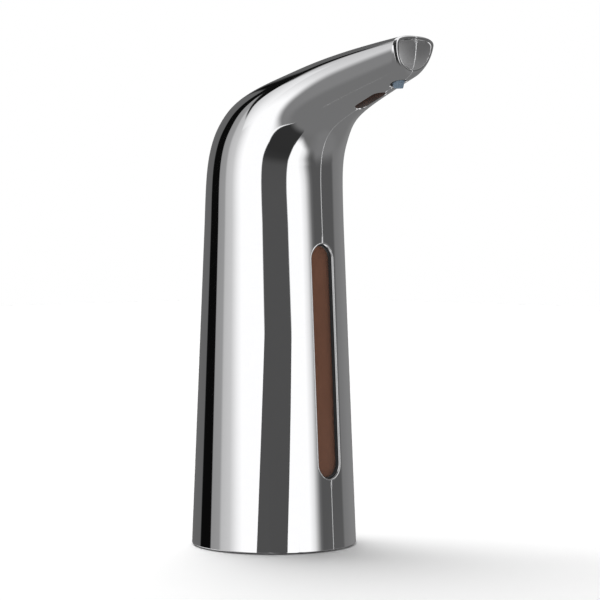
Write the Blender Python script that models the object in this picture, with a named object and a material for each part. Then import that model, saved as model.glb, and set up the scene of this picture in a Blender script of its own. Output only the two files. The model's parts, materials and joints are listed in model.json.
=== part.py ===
"""Automatic soap dispenser: a round tapering column that bends forward into a spout.

The column's axis is at X = 0 of the assembly, +X points along the spout and +Z up.
Every piece is placed from the sizes below, in metres. The assembly empty moves the whole
object so that the middle of its bounding box stands over the origin.
"""

import math

import bmesh
import bpy
import numpy as np
from mathutils import Matrix, Vector

# Casing
BASE_RADIUS = 0.0425
NECK_HEIGHT = 0.165
NECK_FRONT = 0.0343
NECK_BACK = 0.0337
NECK_HALF_WIDTH = 0.0377
SPOUT_REACH = 0.0965
SPOUT_TOP = 0.2558
TIP_DROP = 0.0207
TIP_LEAN = 0.0059
TIP_HALF_WIDTH = 0.0148
FACE_PROUD = 0.0007
FACE_LOW_PROUD = 0.0042
FACE_TOP_DROP = 0.0009
FACE_LOW_RISE = 0.0037
FACE_HALF_WIDTH = 0.0125
FACE_RIM = 0.0007
WALL = 0.0022
SEAM_GAP = 0.0003
FOOT_GAP = 0.0008
GAP = 0.0003
OVERRUN = 0.004
FRONT_RUN_SHARE = 0.469
FRONT_BEND_SHARES = ((0.055, 0.635), (0.21, 0.739), (0.55, 0.854))
BACK_RUN_SHARE = 0.4185
BACK_BEND_SHARES = ((0.138, 0.7225), (0.479, 0.839), (0.704, 0.939))
WIDTH_BEND_SHARES = (0.01, 0.02, 0.07, 0.447, 0.717)
RIM_BULGE_SHARE = 0.2
DOME_SHARES = (0.72, 0.36)
SECTION_SHIFT_SHARE = 0.55
SECTION_POWER = 2.6
ROUND_POWER = 2.0
SECTION_START_SHARE = 0.384
BEND_STEPS = 15
RING_STEPS = 14
SIDES = 20
SMALL_SIDES = 12
CELL_SIDES = 16
HOSE_SIDES = 8
WIRE_SIDES = 6
SPRING_SIDES = 4
CORNER_STEPS = 4
STADIUM_STEPS = 8
MOTOR_STEPS = 5
KNUCKLE_STEPS = 11
RACE_STEPS = 16
ARC_STEPS = 3
HOSE_STEPS = 21
SPRING_STEPS = 8
BATTERY_LEAD_STEPS = 28
MOTOR_LEAD_STEPS = 24
LINE_STEPS = 401
HINGE_STEPS = 200
SHARP_ANGLE = math.radians(35)

# Level window in the front of the column
SLOT_LOW = 0.036
SLOT_BELOW_TANK_TOP = 0.0025
SLOT_WIDTH = 0.0165
WINDOW_DEPTH = 0.0039
WINDOW_THICKNESS = 0.0016
WINDOW_OVERLAP = 0.0014
GASKET_BAND = 0.001
GASKET_DEPTH = 0.0017
GASKET_THICKNESS = 0.0016

# Sensor window and nozzle under the spout
SENSOR_SET_BACK = 0.0291
SENSOR_LENGTH = 0.0195
SENSOR_WIDTH = 0.0085
SENSOR_THICKNESS = 0.0014
SENSOR_DEPTH = 0.0007
SENSOR_SPACING = 0.0095
DIODE_RADIUS = 0.002
DIODE_LENGTH = 0.0046
DIODE_LEG_RADIUS = 0.0006
NOZZLE_SET_BACK = 0.0108
NOZZLE_HOLE_RADIUS = 0.0043
NOZZLE_DROP = 0.0248
NOZZLE_TIP_RADIUS = 0.0024
NOZZLE_RADIUS = 0.003
NOZZLE_CONE = 0.003
NOZZLE_HEIGHT = 0.015
NOZZLE_BORE_RADIUS = 0.0013
CHAMBER_RADIUS = 0.0022
CHAMBER_LOW = 0.0052
CHAMBER_HEIGHT = 0.0086
COLLAR_WALL = 0.0007
COLLAR_HEIGHT = 0.0081
COLLAR_FLANGE = 0.0006
COLLAR_FLANGE_HEIGHT = 0.0012
COLLAR_DEPTH = 0.0004
SPIGOT_Z_RISE = 0.0122
SPIGOT_RADIUS = 0.0013
SPIGOT_BORE = 0.0007
SPIGOT_LENGTH = 0.005
VALVE_HEIGHT = 0.0026
VALVE_WALL = 0.0006

# Button, light and board on top of the spout
BUTTON_X = 0.030
BUTTON_RADIUS = 0.0057
BUTTON_TRAVEL = 0.001
BUTTON_STEM_RADIUS = 0.0018
BUTTON_FLANGE_RADIUS = 0.0068
BUTTON_FLANGE_DEPTH = 0.0037
BUTTON_FLANGE_HEIGHT = 0.0008
PRESS_CLEARANCE = 0.0002
SWITCH_SIZE = 0.006
SWITCH_HEIGHT = 0.0018
PLUNGER_RADIUS = 0.0016
PLUNGER_HEIGHT = 0.0007
BOARD_DEPTH = 0.0106
BOARD_THICKNESS = 0.0012
BOARD_HALF_WIDTH = 0.008
BOARD_BEHIND = 0.008
BOARD_SHORT = 0.0014
SHELF_REACH = 0.0018
SHELF_THICKNESS = 0.0014
SHELF_INSET = 0.006
LIGHT_AHEAD = 0.013
LIGHT_RADIUS = 0.001
LIGHT_FLANGE = 0.0008

# Fill lid at the back of the shoulder
FILL_X = -0.018
LID_HOLE_RADIUS = 0.0145
LID_GAP = 0.0004
LID_TAPER = 0.0008
HINGE_OUT = 0.0162
HINGE_DEPTH = 0.0017
PIN_RADIUS = 0.0008
PIN_HALF_LENGTH = 0.0086
PIN_CLEARANCE = 0.0001
KNUCKLE_RADIUS = 0.0015
KNUCKLE_HALF = 0.0058
NOTCH_HALF = 0.0064
NOTCH_BEHIND = 0.0032
NOTCH_AHEAD = 0.003
STRAP_AHEAD = 0.0036
STRAP_TOP = 0.0012
STRAP_LOW = 0.0004
LUG_LENGTH = 0.0028
LUG_DEPTH = 0.0044
LUG_WIDTH = 0.0028
PLUG_RADIUS = 0.0132
PLUG_DEPTH = 0.0057
NECK_MOUTH_DEPTH = 0.0062

# Tank and its lid
TANK_ABOVE_BAY = 0.0023
TANK_BELOW_NECK = 0.007
PUMP_ROOM = 0.085
TANK_CLEARANCE = 0.0008
TANK_WALL = 0.0016
GASKET_HEIGHT = 0.0014
LID_THICKNESS = 0.003
FILLER_RADIUS = 0.0085
FILLER_WALL = 0.0014
FILLER_FLANGE = 0.0012
FILLER_FLANGE_HEIGHT = 0.0014
CRADLE_WALL = 0.0016
CRADLE_HEIGHT = 0.009
CRADLE_SINK = 0.001
CHANNEL_WIDTH = 0.008
CHANNEL_DEPTH = 0.0034
TUBE_RADIUS = 0.0022
TUBE_WALL = 0.0008
TUBE_RISE = 0.006
STRAINER_WALL = 0.001
STRAINER_RADIUS = 0.0042
STRAINER_HEIGHT = 0.008
STRAINER_FLOOR_GAP = 0.0012

# Pump and motor
PUMP_X = 0.013
MOTOR_RADIUS = 0.01
MOTOR_HALF_FLAT = 0.0078
MOTOR_LENGTH = 0.022
MOTOR_BOSS_RADIUS = 0.003
MOTOR_BOSS_HEIGHT = 0.001
SHAFT_RADIUS = 0.002
SHAFT_SINK = 0.003
ROLLER_PITCH_RADIUS = 0.005
ROLLER_HEIGHT = 0.005
AXLE_RADIUS = 0.0012
HOSE_SQUEEZED = 0.0019
RACE_WALL = 0.0016
PUMP_FLOOR = 0.0018
PUMP_HEIGHT = 0.0085
CARRIER_THICKNESS = 0.0012
CARRIER_RADIUS = 0.0095
HOSE_RADIUS = 0.0024
HOSE_WALL = 0.0006
HOSE_SQUEEZED_HEIGHT = 0.0028
HOSE_BEND = 0.006
HOSE_RISE_SHARES = (0.12, 0.26)
HOSE_ROUTE_SHARES = (
    (0.41, 0.68, 0.03),
    (0.517, 0.604, 0.07),
    (0.613, 0.486, 0.11),
    (0.7035, 0.404, 0.15),
    (0.8035, 0.399, 0.30),
    (0.876, 0.372, 0.38),
    (0.923, 0.357, 0.53),
    (0.945, 0.526, 0.85),
)
RISER_X = -0.006
SCREW_RADIUS = 0.0008
SCREW_HEAD_RADIUS = 0.0016
SCREW_HEAD_HEIGHT = 0.0011
PUMP_SCREW_LENGTH = 0.0045
PUMP_SCREW_ANGLE = math.radians(75)
PUMP_SCREW_OUT = 0.0178
EAR_RADIUS = 0.0028
ROLLERS = 3

# Base, battery bay and door
FRAME_CLEARANCE = 0.0008
FRAME_LOW = 0.0009
FRAME_TOP = 0.0052
RABBET_SET_IN = 0.0063
RABBET_TOP = 0.0024
RING_BAND = 0.0033
RING_TOP = 0.0021
DOOR_LEDGE = 0.0014
DOOR_LOW = 0.001
DOOR_THICKNESS = 0.0022
DOOR_CORNER = 0.006
DOOR_HINGE_CORNER = 0.009
GRIP_RADIUS = 0.0035
GRIP_SET_IN = 0.0055
PIVOT_RADIUS = 0.0009
PIVOT_SET_IN = 0.0012
PIVOT_SHORT = 0.0004
SEAL_BAND = 0.001
SEAL_THICKNESS = 0.0005
LEDGE_Z = 0.0042
BAY_CLEARANCE = 0.00347
BAY_TURN = math.radians(49.5)
BAY_WALL = 0.0016
CELL_ROOM = 0.00035
SPRING_ROOM = 0.00355
CELL_CLEARANCE = 0.00225
CELL_NUB_RADIUS = 0.0019
CELL_NUB = 0.0008
CELL_EDGE = 0.0006
CELLS = 4
CONTACT_THICKNESS = 0.0004
CONTACT_HEIGHT = 0.008
CONTACT_OVERHANG = 0.0035
SPRING_RADIUS = 0.0028
SPRING_WIRE = 0.0003
SPRING_TURNS = 2
BOSS_CLEARANCE = 0.0024
BOSS_Y = 0.0085
BOSS_RADIUS = 0.0032
BOSS_TOP = 0.0175
WEB_THICKNESS = 0.0022
SHELL_SCREW_RADIUS = 0.0013
SHELL_SCREW_HEAD = 0.0026
SHELL_SCREW_HEAD_HEIGHT = 0.0012
SHELL_SCREW_LENGTH = 0.0105
SCREW_SINK = 0.0017
DRIVE_WIDTH = 0.0006
DRIVE_DEPTH = 0.0005

# Wires
WIRE_RADIUS = 0.0005
WIRE_PITCH = 0.0013

# Finishes: colour, roughness and metallic value
CHROME = ((0.80, 0.80, 0.81), 0.05, 1.0)
SMOKED = ((0.16, 0.07, 0.045), 0.12, 0.0)
SENSOR_BLACK = ((0.03, 0.018, 0.014), 0.1, 0.0)
BLACK_RUBBER = ((0.012, 0.012, 0.013), 0.6, 0.0)
BLUE_GREY = ((0.15, 0.21, 0.28), 0.35, 0.0)
WHITE_PLASTIC = ((0.72, 0.72, 0.70), 0.4, 0.0)
GREY_PLASTIC = ((0.20, 0.20, 0.21), 0.5, 0.0)
CLEAR_PLASTIC = ((0.70, 0.72, 0.73), 0.2, 0.0)
SILICONE = ((0.62, 0.64, 0.64), 0.5, 0.0)
STEEL = ((0.60, 0.60, 0.58), 0.25, 1.0)
BRASS = ((0.72, 0.55, 0.25), 0.3, 1.0)
BOARD_GREEN = ((0.02, 0.16, 0.06), 0.45, 0.0)
CELL_GREY = ((0.10, 0.10, 0.11), 0.35, 0.4)
RED = ((0.50, 0.02, 0.02), 0.45, 0.0)
LAMP = ((0.75, 0.78, 0.80), 0.2, 0.0)

# Values that follow from the sizes above
PUMP_SCREW = (SCREW_RADIUS, SCREW_HEAD_RADIUS, SCREW_HEAD_HEIGHT, PUMP_SCREW_LENGTH)
SHELL_SCREW = (SHELL_SCREW_RADIUS, SHELL_SCREW_HEAD, SHELL_SCREW_HEAD_HEIGHT, SHELL_SCREW_LENGTH)
SENSOR_X = SPOUT_REACH - SENSOR_SET_BACK
NOZZLE_X = SPOUT_REACH - NOZZLE_SET_BACK
NOZZLE_TIP_Z = SPOUT_TOP - NOZZLE_DROP
BOARD_AHEAD = SENSOR_X - BUTTON_X - BOARD_SHORT
PLUNGER_DEPTH = BOARD_DEPTH - GAP - SWITCH_HEIGHT - PLUNGER_HEIGHT
BUTTON_STEM_DEPTH = PLUNGER_DEPTH - BUTTON_TRAVEL - PRESS_CLEARANCE
FRAME_RADIUS = BASE_RADIUS - WALL - FRAME_CLEARANCE
RABBET_RADIUS = BASE_RADIUS - RABBET_SET_IN
BAY_REACH = FRAME_RADIUS - BAY_CLEARANCE
BAY_HALF_X = BAY_REACH * math.cos(BAY_TURN) - BAY_WALL
BAY_HALF_Y = BAY_REACH * math.sin(BAY_TURN) - BAY_WALL
DOOR_HALF_X = BAY_HALF_X + DOOR_LEDGE
DOOR_HALF_Y = BAY_HALF_Y + DOOR_LEDGE
CELL_RADIUS = (BAY_HALF_X - CELL_ROOM - GAP * (CELLS - 1) / 2) / CELLS
CELL_SPACING = 2 * CELL_RADIUS + GAP
CELL_LENGTH = 2 * (BAY_HALF_Y - SPRING_ROOM)
CELL_Z = LEDGE_Z + CELL_CLEARANCE + CELL_RADIUS
BAY_TOP = CELL_Z + CELL_RADIUS + CELL_CLEARANCE
BOSS_X = BAY_HALF_X + BAY_WALL + BOSS_CLEARANCE + BOSS_RADIUS
TANK_LOW = BAY_TOP + TANK_ABOVE_BAY
TANK_TOP = min(NECK_HEIGHT - TANK_BELOW_NECK, SPOUT_TOP - PUMP_ROOM)
SLOT_HIGH = TANK_TOP - SLOT_BELOW_TANK_TOP
SCREW_HOLE_RADIUS = SHELL_SCREW_RADIUS + PIN_CLEARANCE
HOLD_RADIUS = SHAFT_RADIUS + 2 * ROLLER_PITCH_RADIUS
ROLLER_ORBIT = SHAFT_RADIUS + ROLLER_PITCH_RADIUS
RACE_RADIUS = HOLD_RADIUS + HOSE_SQUEEZED + GAP
HOSE_ORBIT = HOLD_RADIUS + HOSE_SQUEEZED / 2
LID_LOW = TANK_TOP + GAP + GASKET_HEIGHT + GAP
LID_HIGH = LID_LOW + LID_THICKNESS
MOTOR_LOW = LID_HIGH - CRADLE_SINK
MOTOR_TOP = MOTOR_LOW + MOTOR_LENGTH
PUMP_LOW = MOTOR_TOP + GAP
PUMP_TOP = PUMP_LOW + PUMP_FLOOR + PUMP_HEIGHT
CARRIER_LOW = PUMP_LOW + PUMP_FLOOR + GAP
ROLLER_LOW = CARRIER_LOW + CARRIER_THICKNESS + GAP
HOSE_Z = ROLLER_LOW + ROLLER_HEIGHT / 2
STEP_X = SPOUT_REACH + FACE_PROUD


def make_assembly():
    """An empty that carries every piece and centres the bounding box."""
    empty = bpy.data.objects.new("assembly", None)
    bpy.context.collection.objects.link(empty)
    empty.location.x = (BASE_RADIUS - STEP_X) / 2
    return empty


def clear_scene():
    for old in list(bpy.data.objects):
        bpy.data.objects.remove(old, do_unlink=True)


def piece(name, mesh, finish=None, smooth=True):
    """An object of this mesh under the assembly; with no finish it is a cutter."""
    obj = bpy.data.objects.new(name, mesh)
    bpy.context.collection.objects.link(obj)
    obj.parent = bpy.data.objects["assembly"]
    if finish is None:
        obj.hide_render = True
        obj.display_type = "WIRE"
        return obj
    colour, roughness, metallic = finish
    material = bpy.data.materials.new(name + "_finish")
    material.use_nodes = True
    shader = material.node_tree.nodes["Principled BSDF"]
    shader.inputs["Base Color"].default_value = (*colour, 1)
    shader.inputs["Roughness"].default_value = roughness
    shader.inputs["Metallic"].default_value = metallic
    mesh.materials.append(material)
    if smooth:
        mesh.shade_smooth()
        mesh.set_sharp_from_angle(angle=SHARP_ANGLE)
    return obj


def mesh_of(points, faces, name="shape"):
    """A closed mesh with its normals pointing out."""
    form = bmesh.new()
    corners = [form.verts.new(point) for point in points]
    for face in faces:
        form.faces.new([corners[index] for index in face])
    bmesh.ops.recalc_face_normals(form, faces=form.faces)
    mesh = bpy.data.meshes.new(name)
    form.to_mesh(mesh)
    form.free()
    return mesh


def loft(rings):
    """A solid through closed rings of equal count, capped at both ends."""
    count = len(rings[0])
    points = [point for ring in rings for point in ring]
    faces = [tuple(range(count)), tuple(range(len(points) - count, len(points)))]
    for level in range(len(rings) - 1):
        for index in range(count):
            after = (index + 1) % count
            low = level * count
            faces.append((low + index, low + after, low + count + after, low + count + index))
    return mesh_of(points, faces)


def circle(radius, sides, z=0.0, turn=0.0):
    angles = [turn + 2 * math.pi * k / sides for k in range(sides)]
    return [Vector((radius * math.cos(a), radius * math.sin(a), z)) for a in angles]


def turned(profile, sides=SIDES):
    """A solid turned about Z from a closed profile of (radius, height) points."""
    points = []
    rows = []
    for radius, height in profile:
        if radius == 0:
            rows.append([len(points)] * sides)
            points.append(Vector((0, 0, height)))
        else:
            rows.append(list(range(len(points), len(points) + sides)))
            points.extend(circle(radius, sides, height))
    faces = []
    for row, following in zip(rows, rows[1:] + rows[:1]):
        for k in range(sides):
            after = (k + 1) % sides
            corners = (row[k], row[after], following[after], following[k])
            ring = tuple(dict.fromkeys(corners))
            if len(ring) > 2:
                faces.append(ring)
    return mesh_of(points, faces)


def rod(radius, low, high, sides=SIDES):
    return turned(((0, low), (radius, low), (radius, high), (0, high)), sides)


def pipe(outer, inner, low, high, sides=SIDES):
    return turned(((inner, low), (outer, low), (outer, high), (inner, high)), sides)


def prism(outline, low, high):
    """A solid between two heights over a flat outline of (x, y) points."""
    return loft([[Vector((x, y, z)) for x, y in outline] for z in (low, high)])


def box(x_low, x_high, y_low, y_high, z_low, z_high):
    return prism(((x_low, y_low), (x_high, y_low), (x_high, y_high), (x_low, y_high)), z_low, z_high)


def stadium(length, width):
    """An oblong with round ends, long along X."""
    radius = width / 2
    reach = length / 2 - radius
    ends = ((reach, -math.pi / 2), (-reach, math.pi / 2))
    points = []
    for x, start in ends:
        for k in range(STADIUM_STEPS + 1):
            angle = start + math.pi * k / STADIUM_STEPS
            points.append((x + radius * math.cos(angle), radius * math.sin(angle)))
    return points


def rounded_sides(behind, ahead, half_y, rear_corner, front_corner):
    """The outline of a rectangle with round corners, from its rear side to its front side."""
    points = []
    for quarter in range(4):
        front = quarter in (0, 3)
        corner = front_corner if front else rear_corner
        middle_x = ahead - corner if front else corner - behind
        middle_y = (half_y - corner) * (1 if quarter < 2 else -1)
        for k in range(CORNER_STEPS + 1):
            angle = math.pi / 2 * (quarter + k / CORNER_STEPS)
            points.append((middle_x + corner * math.cos(angle), middle_y + corner * math.sin(angle)))
    return points


def rounded_box(half_x, half_y, corner):
    """The outline of a centred rectangle with round corners."""
    return rounded_sides(half_x, half_x, half_y, corner, corner)


def ring_plate(outer, inner, low, high):
    """A flat ring between two outlines of equal count."""
    count = len(outer)
    layers = ((outer, low), (outer, high), (inner, high), (inner, low))
    points = [Vector((x, y, z)) for outline, z in layers for x, y in outline]
    faces = []
    for layer in range(4):
        for k in range(count):
            after = (k + 1) % count
            here = layer * count
            there = (layer + 1) % 4 * count
            faces.append((here + k, here + after, there + after, there + k))
    return mesh_of(points, faces)


def boolean(target, other, operation):
    modifier = target.modifiers.new(other.name, "BOOLEAN")
    modifier.operation = operation
    modifier.object = other
    modifier.solver = "EXACT"


def cut(target, other):
    boolean(target, other, "DIFFERENCE")


def fuse(target, other):
    boolean(target, other, "UNION")


def keep(target, other):
    boolean(target, other, "INTERSECT")


def place(obj, origin, axis=None, forward=None):
    """Puts an object's origin at a point, its Z along axis and its X along forward."""
    obj.location = origin
    if axis is not None:
        side = axis.cross(forward).normalized()
        turn = Matrix((side.cross(axis), side, axis)).transposed()
        obj.rotation_euler = turn.to_euler()
    return obj


def basis(count, shares):
    """Weights of a clamped cubic spline's control points at each share of its length."""
    degree = 3
    spans = count - degree
    knots = [0] * degree + list(range(spans + 1)) + [spans] * degree
    at = np.minimum(np.array(shares) * spans, spans * (1 - 1e-9))
    weights = [(at >= low) & (at < high) for low, high in zip(knots, knots[1:])]
    weights = [weight.astype(float) for weight in weights]
    for order in range(1, degree + 1):
        raised = []
        for k in range(len(weights) - 1):
            total = np.zeros(len(at))
            if knots[k + order] > knots[k]:
                total += (at - knots[k]) / (knots[k + order] - knots[k]) * weights[k]
            if knots[k + order + 1] > knots[k + 1]:
                fall = knots[k + order + 1] - at
                total += fall / (knots[k + order + 1] - knots[k + 1]) * weights[k + 1]
            raised.append(total)
        weights = raised
    return np.stack(weights, axis=1)


def spline(controls, shares):
    return basis(len(controls), shares) @ np.array(controls, dtype=float)


def bend_controls(foot_x, neck_x, run_share, bend_shares, tip):
    """Control points of a casing line, from the top of the straight column to the tip.

    The first three lie on the column's own line, so the bend starts with no curvature.
    """
    foot = np.array((foot_x, FOOT_GAP))
    neck = np.array((neck_x, NECK_HEIGHT))
    tip = np.array(tip)
    up = (neck - foot) / np.linalg.norm(neck - foot)
    run = run_share * (tip[1] - NECK_HEIGHT)
    bend = [neck + (tip - neck) * np.array(share) for share in bend_shares]
    return [neck, neck + up * run / 2, neck + up * run, *bend, tip]


LOW_TIP = (SPOUT_REACH - TIP_LEAN, SPOUT_TOP - TIP_DROP)
TOP_TIP = (SPOUT_REACH, SPOUT_TOP)
FRONT_CONTROLS = bend_controls(BASE_RADIUS, NECK_FRONT, FRONT_RUN_SHARE, FRONT_BEND_SHARES, LOW_TIP)
BACK_CONTROLS = bend_controls(-BASE_RADIUS, -NECK_BACK, BACK_RUN_SHARE, BACK_BEND_SHARES, TOP_TIP)


def smooth_step(share):
    share = min(max(share, 0.0), 1.0)
    return share * share * (3 - 2 * share)


def line_point(controls, foot_x, station):
    """A point of a casing line: stations -1 to 0 climb the column, 0 to 1 follow the bend."""
    if station >= 0:
        return spline(controls, [station])[0]
    foot = np.array((foot_x, FOOT_GAP))
    return foot + (controls[0] - foot) * (station + 1)


def front_point(station):
    return line_point(FRONT_CONTROLS, BASE_RADIUS, station)


def back_point(station):
    return line_point(BACK_CONTROLS, -BASE_RADIUS, station)


def half_width(station):
    if station < 0:
        return BASE_RADIUS + (NECK_HALF_WIDTH - BASE_RADIUS) * (station + 1)
    shares = (0.0, *WIDTH_BEND_SHARES, 1.0)
    controls = [NECK_HALF_WIDTH + (TIP_HALF_WIDTH - NECK_HALF_WIDTH) * share for share in shares]
    return float(spline([(value,) for value in controls], [station])[0][0])


def station_at(z):
    """The station of the straight column at this height."""
    return (z - FOOT_GAP) / (NECK_HEIGHT - FOOT_GAP) - 1


def section(front, back, width, blend):
    """Half of a casing section, from its front over the left side to its back.

    A blend of 0 is an ellipse; towards 1 it is widest near the top, as the spout is.
    """
    middle = (front + back) / 2
    half = (back - front) / 2
    shift = SECTION_SHIFT_SHARE * blend
    power = ROUND_POWER + (SECTION_POWER - ROUND_POWER) * blend
    points = []
    for k in range(RING_STEPS + 1):
        angle = math.pi * (k / RING_STEPS - 0.5)
        rise = math.sin(angle)
        across = max(math.cos(angle), 0.0)
        if rise < 0:
            along = shift + (1 + shift) * rise
        else:
            along = shift + (1 - shift) * rise ** (2 / power)
            across = across ** (2 / power)
        x, z = middle + half * along
        points.append(Vector((x, across * width, z)))
    points[0].y = 0
    points[-1].y = 0
    return points


def half_ring(station, inset=0.0):
    """A casing section this far inside the outer surface."""
    front = front_point(station)
    back = back_point(station)
    inwards = (back - front) / np.linalg.norm(back - front) * inset
    start = SECTION_START_SHARE
    blend = smooth_step((station - start) / (1 - start))
    return section(front + inwards, back - inwards, half_width(station) - inset, blend)


def face_ring(rim=0.0, set_back=0.0):
    """The section in the plane of the spout's end face."""
    low = np.array(LOW_TIP) + (FACE_LOW_PROUD, FACE_LOW_RISE)
    top = np.array(TOP_TIP) + (FACE_PROUD, -FACE_TOP_DROP)
    up = (top - low) / np.linalg.norm(top - low)
    out = np.array((up[1], -up[0]))
    low = low + up * rim - out * set_back
    top = top - up * rim - out * set_back
    return section(low, top, FACE_HALF_WIDTH - rim, 1.0)


def rim_rings():
    """The rounded edge between the spout's sides and its end face."""
    tip = half_ring(1.0)
    face = face_ring()
    before = half_ring(1.0 - 1.0 / BEND_STEPS)
    middle = []
    for corner, far, back in zip(tip, face, before):
        ahead = (corner - back).normalized() * (far - corner).length * RIM_BULGE_SHARE
        middle.append((corner + far) / 2 + ahead)
    middle[0].y = 0
    middle[-1].y = 0
    return [middle, face]


def bend_stations(last=1.0):
    return [last * k / BEND_STEPS for k in range(BEND_STEPS + 1)]


def full_ring(half):
    return half + [Vector((p.x, -p.y, p.z)) for p in reversed(half[1:-1])]


def casing_form(inset, name):
    """A solid of the whole casing's shape, this far inside its outer surface."""
    first = half_ring(-1.0, inset)
    below = [p - Vector((0, 0, OVERRUN)) for p in first]
    rings = [below] if inset else []
    rings += [first] + [half_ring(station, inset) for station in bend_stations()]
    return piece(name, loft([full_ring(ring) for ring in rings]))


def half_shell_mesh(side):
    """One half of the casing: its wall, open at the foot and at the end face."""
    stations = [-1.0] + bend_stations()
    outer = [half_ring(station) for station in stations] + rim_rings()
    inner = [half_ring(station, WALL) for station in [-1.0] + bend_stations(1.0 - 1.0 / BEND_STEPS)]
    inner += [face_ring(FACE_RIM, WALL), face_ring(FACE_RIM)]
    count = RING_STEPS + 1
    rings = outer + inner[::-1]
    points = []
    for ring in rings:
        for p in ring:
            points.append(Vector((p.x, side * max(p.y, SEAM_GAP / 2), p.z)))
    faces = []
    for level in range(len(rings)):
        here = level * count
        there = (level + 1) % len(rings) * count
        for k in range(count - 1):
            faces.append((here + k, here + k + 1, there + k + 1, there + k))
    levels = len(rings)
    for edge in (0, count - 1):
        for level in range(len(outer) - 1):
            facing = levels - 1 - level
            corners = [level, level + 1, facing - 1, facing]
            corners = list(dict.fromkeys(min(max(c, 0), levels - 1) for c in corners))
            if len(corners) > 2:
                faces.append(tuple(c * count + edge for c in corners))
    return mesh_of(points, faces)


def surface_frame(controls, x, outward):
    """Where a casing line passes this X: the point, its outward normal and its tangent."""
    shares = np.linspace(0, 1, LINE_STEPS)
    line = spline(controls, shares)
    after = len(line) - 1
    while line[after - 1][0] > x:
        after -= 1
    low, high = line[after - 1], line[after]
    spot = low + (high - low) * (x - low[0]) / (high[0] - low[0])
    run = (high - low) / np.linalg.norm(high - low)
    tangent = Vector((run[0], 0, run[1]))
    normal = Vector((-run[1], 0, run[0])) * outward
    return Vector((spot[0], 0, spot[1])), normal, tangent


def column_frame(z):
    """The front of the straight column at this height, as surface_frame gives it."""
    low = front_point(-1.0)
    high = front_point(0.0)
    spot = front_point(station_at(z))
    run = (high - low) / np.linalg.norm(high - low)
    tangent = Vector((run[0], 0, run[1]))
    return Vector((spot[0], 0, spot[1])), Vector((run[1], 0, -run[0])), tangent


WINDOW_FRAME = column_frame((SLOT_LOW + SLOT_HIGH) / 2)
SENSOR_FRAME = surface_frame(FRONT_CONTROLS, SENSOR_X, -1)
BUTTON_FRAME = surface_frame(BACK_CONTROLS, BUTTON_X, 1)
LID_FRAME = surface_frame(BACK_CONTROLS, FILL_X, 1)


def hinge_frame():
    """The lid's hinge, on the back line at its own distance from the lid's middle."""
    spot, _, _ = LID_FRAME
    x = spot.x
    step = HINGE_OUT / HINGE_STEPS
    while (surface_frame(BACK_CONTROLS, x, 1)[0] - spot).length < HINGE_OUT:
        x -= step
    return surface_frame(BACK_CONTROLS, x, 1)


FILLER_POINT = LID_FRAME[0] - LID_FRAME[1] * NECK_MOUTH_DEPTH
HINGE_FRAME = hinge_frame()
HINGE_POINT = HINGE_FRAME[0] - HINGE_FRAME[1] * HINGE_DEPTH


def on_frame(name, mesh, frame, finish=None, depth=0.0, smooth=True):
    """A piece whose Z is the casing's outward normal at this frame."""
    spot, normal, tangent = frame
    return place(piece(name, mesh, finish, smooth), spot - normal * depth, normal, tangent)


def across(radius, half_length, sides=SMALL_SIDES):
    """A rod along Y through its own origin."""
    mesh = rod(radius, -half_length, half_length, sides)
    mesh.transform(Matrix.Rotation(math.pi / 2, 4, "X"))
    return mesh


def slot_length():
    return (SLOT_HIGH - SLOT_LOW) / abs(WINDOW_FRAME[2].z)


def casing_cutters():
    """Every opening in the casing, as separate cutters."""
    depth = 3 * WALL + OVERRUN
    slot = prism(stadium(slot_length(), SLOT_WIDTH), -depth, OVERRUN)
    sensor = prism(stadium(SENSOR_LENGTH, SENSOR_WIDTH), -WALL - OVERRUN, OVERRUN)
    button = rod(BUTTON_RADIUS + GAP, -WALL - OVERRUN, OVERRUN)
    light = rod(LIGHT_RADIUS + GAP, -WALL - OVERRUN, OVERRUN, SMALL_SIDES)
    light.transform(Matrix.Translation((LIGHT_AHEAD, 0, 0)))
    lid = rod(LID_HOLE_RADIUS, -WALL - OVERRUN, OVERRUN, 2 * SIDES)
    notch = box(-NOTCH_BEHIND, NOTCH_AHEAD, -NOTCH_HALF, NOTCH_HALF, -LUG_DEPTH - OVERRUN, OVERRUN)
    nozzle = rod(NOZZLE_HOLE_RADIUS, -OVERRUN, OVERRUN + WALL)
    pin = across(PIN_RADIUS + PIN_CLEARANCE, PIN_HALF_LENGTH + GAP)
    under_nozzle, _, _ = surface_frame(FRONT_CONTROLS, NOZZLE_X, -1)
    return [
        on_frame("slot_cutter", slot, WINDOW_FRAME),
        on_frame("sensor_cutter", sensor, SENSOR_FRAME),
        on_frame("button_cutter", button, BUTTON_FRAME),
        on_frame("light_cutter", light, BUTTON_FRAME),
        on_frame("lid_cutter", lid, LID_FRAME),
        on_frame("notch_cutter", notch, HINGE_FRAME),
        place(piece("nozzle_cutter", nozzle), under_nozzle),
        place(piece("pin_cutter", pin), HINGE_POINT),
    ]


def boss_places(side):
    return [(sign * BOSS_X, side * BOSS_Y) for sign in (1, -1)]


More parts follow.
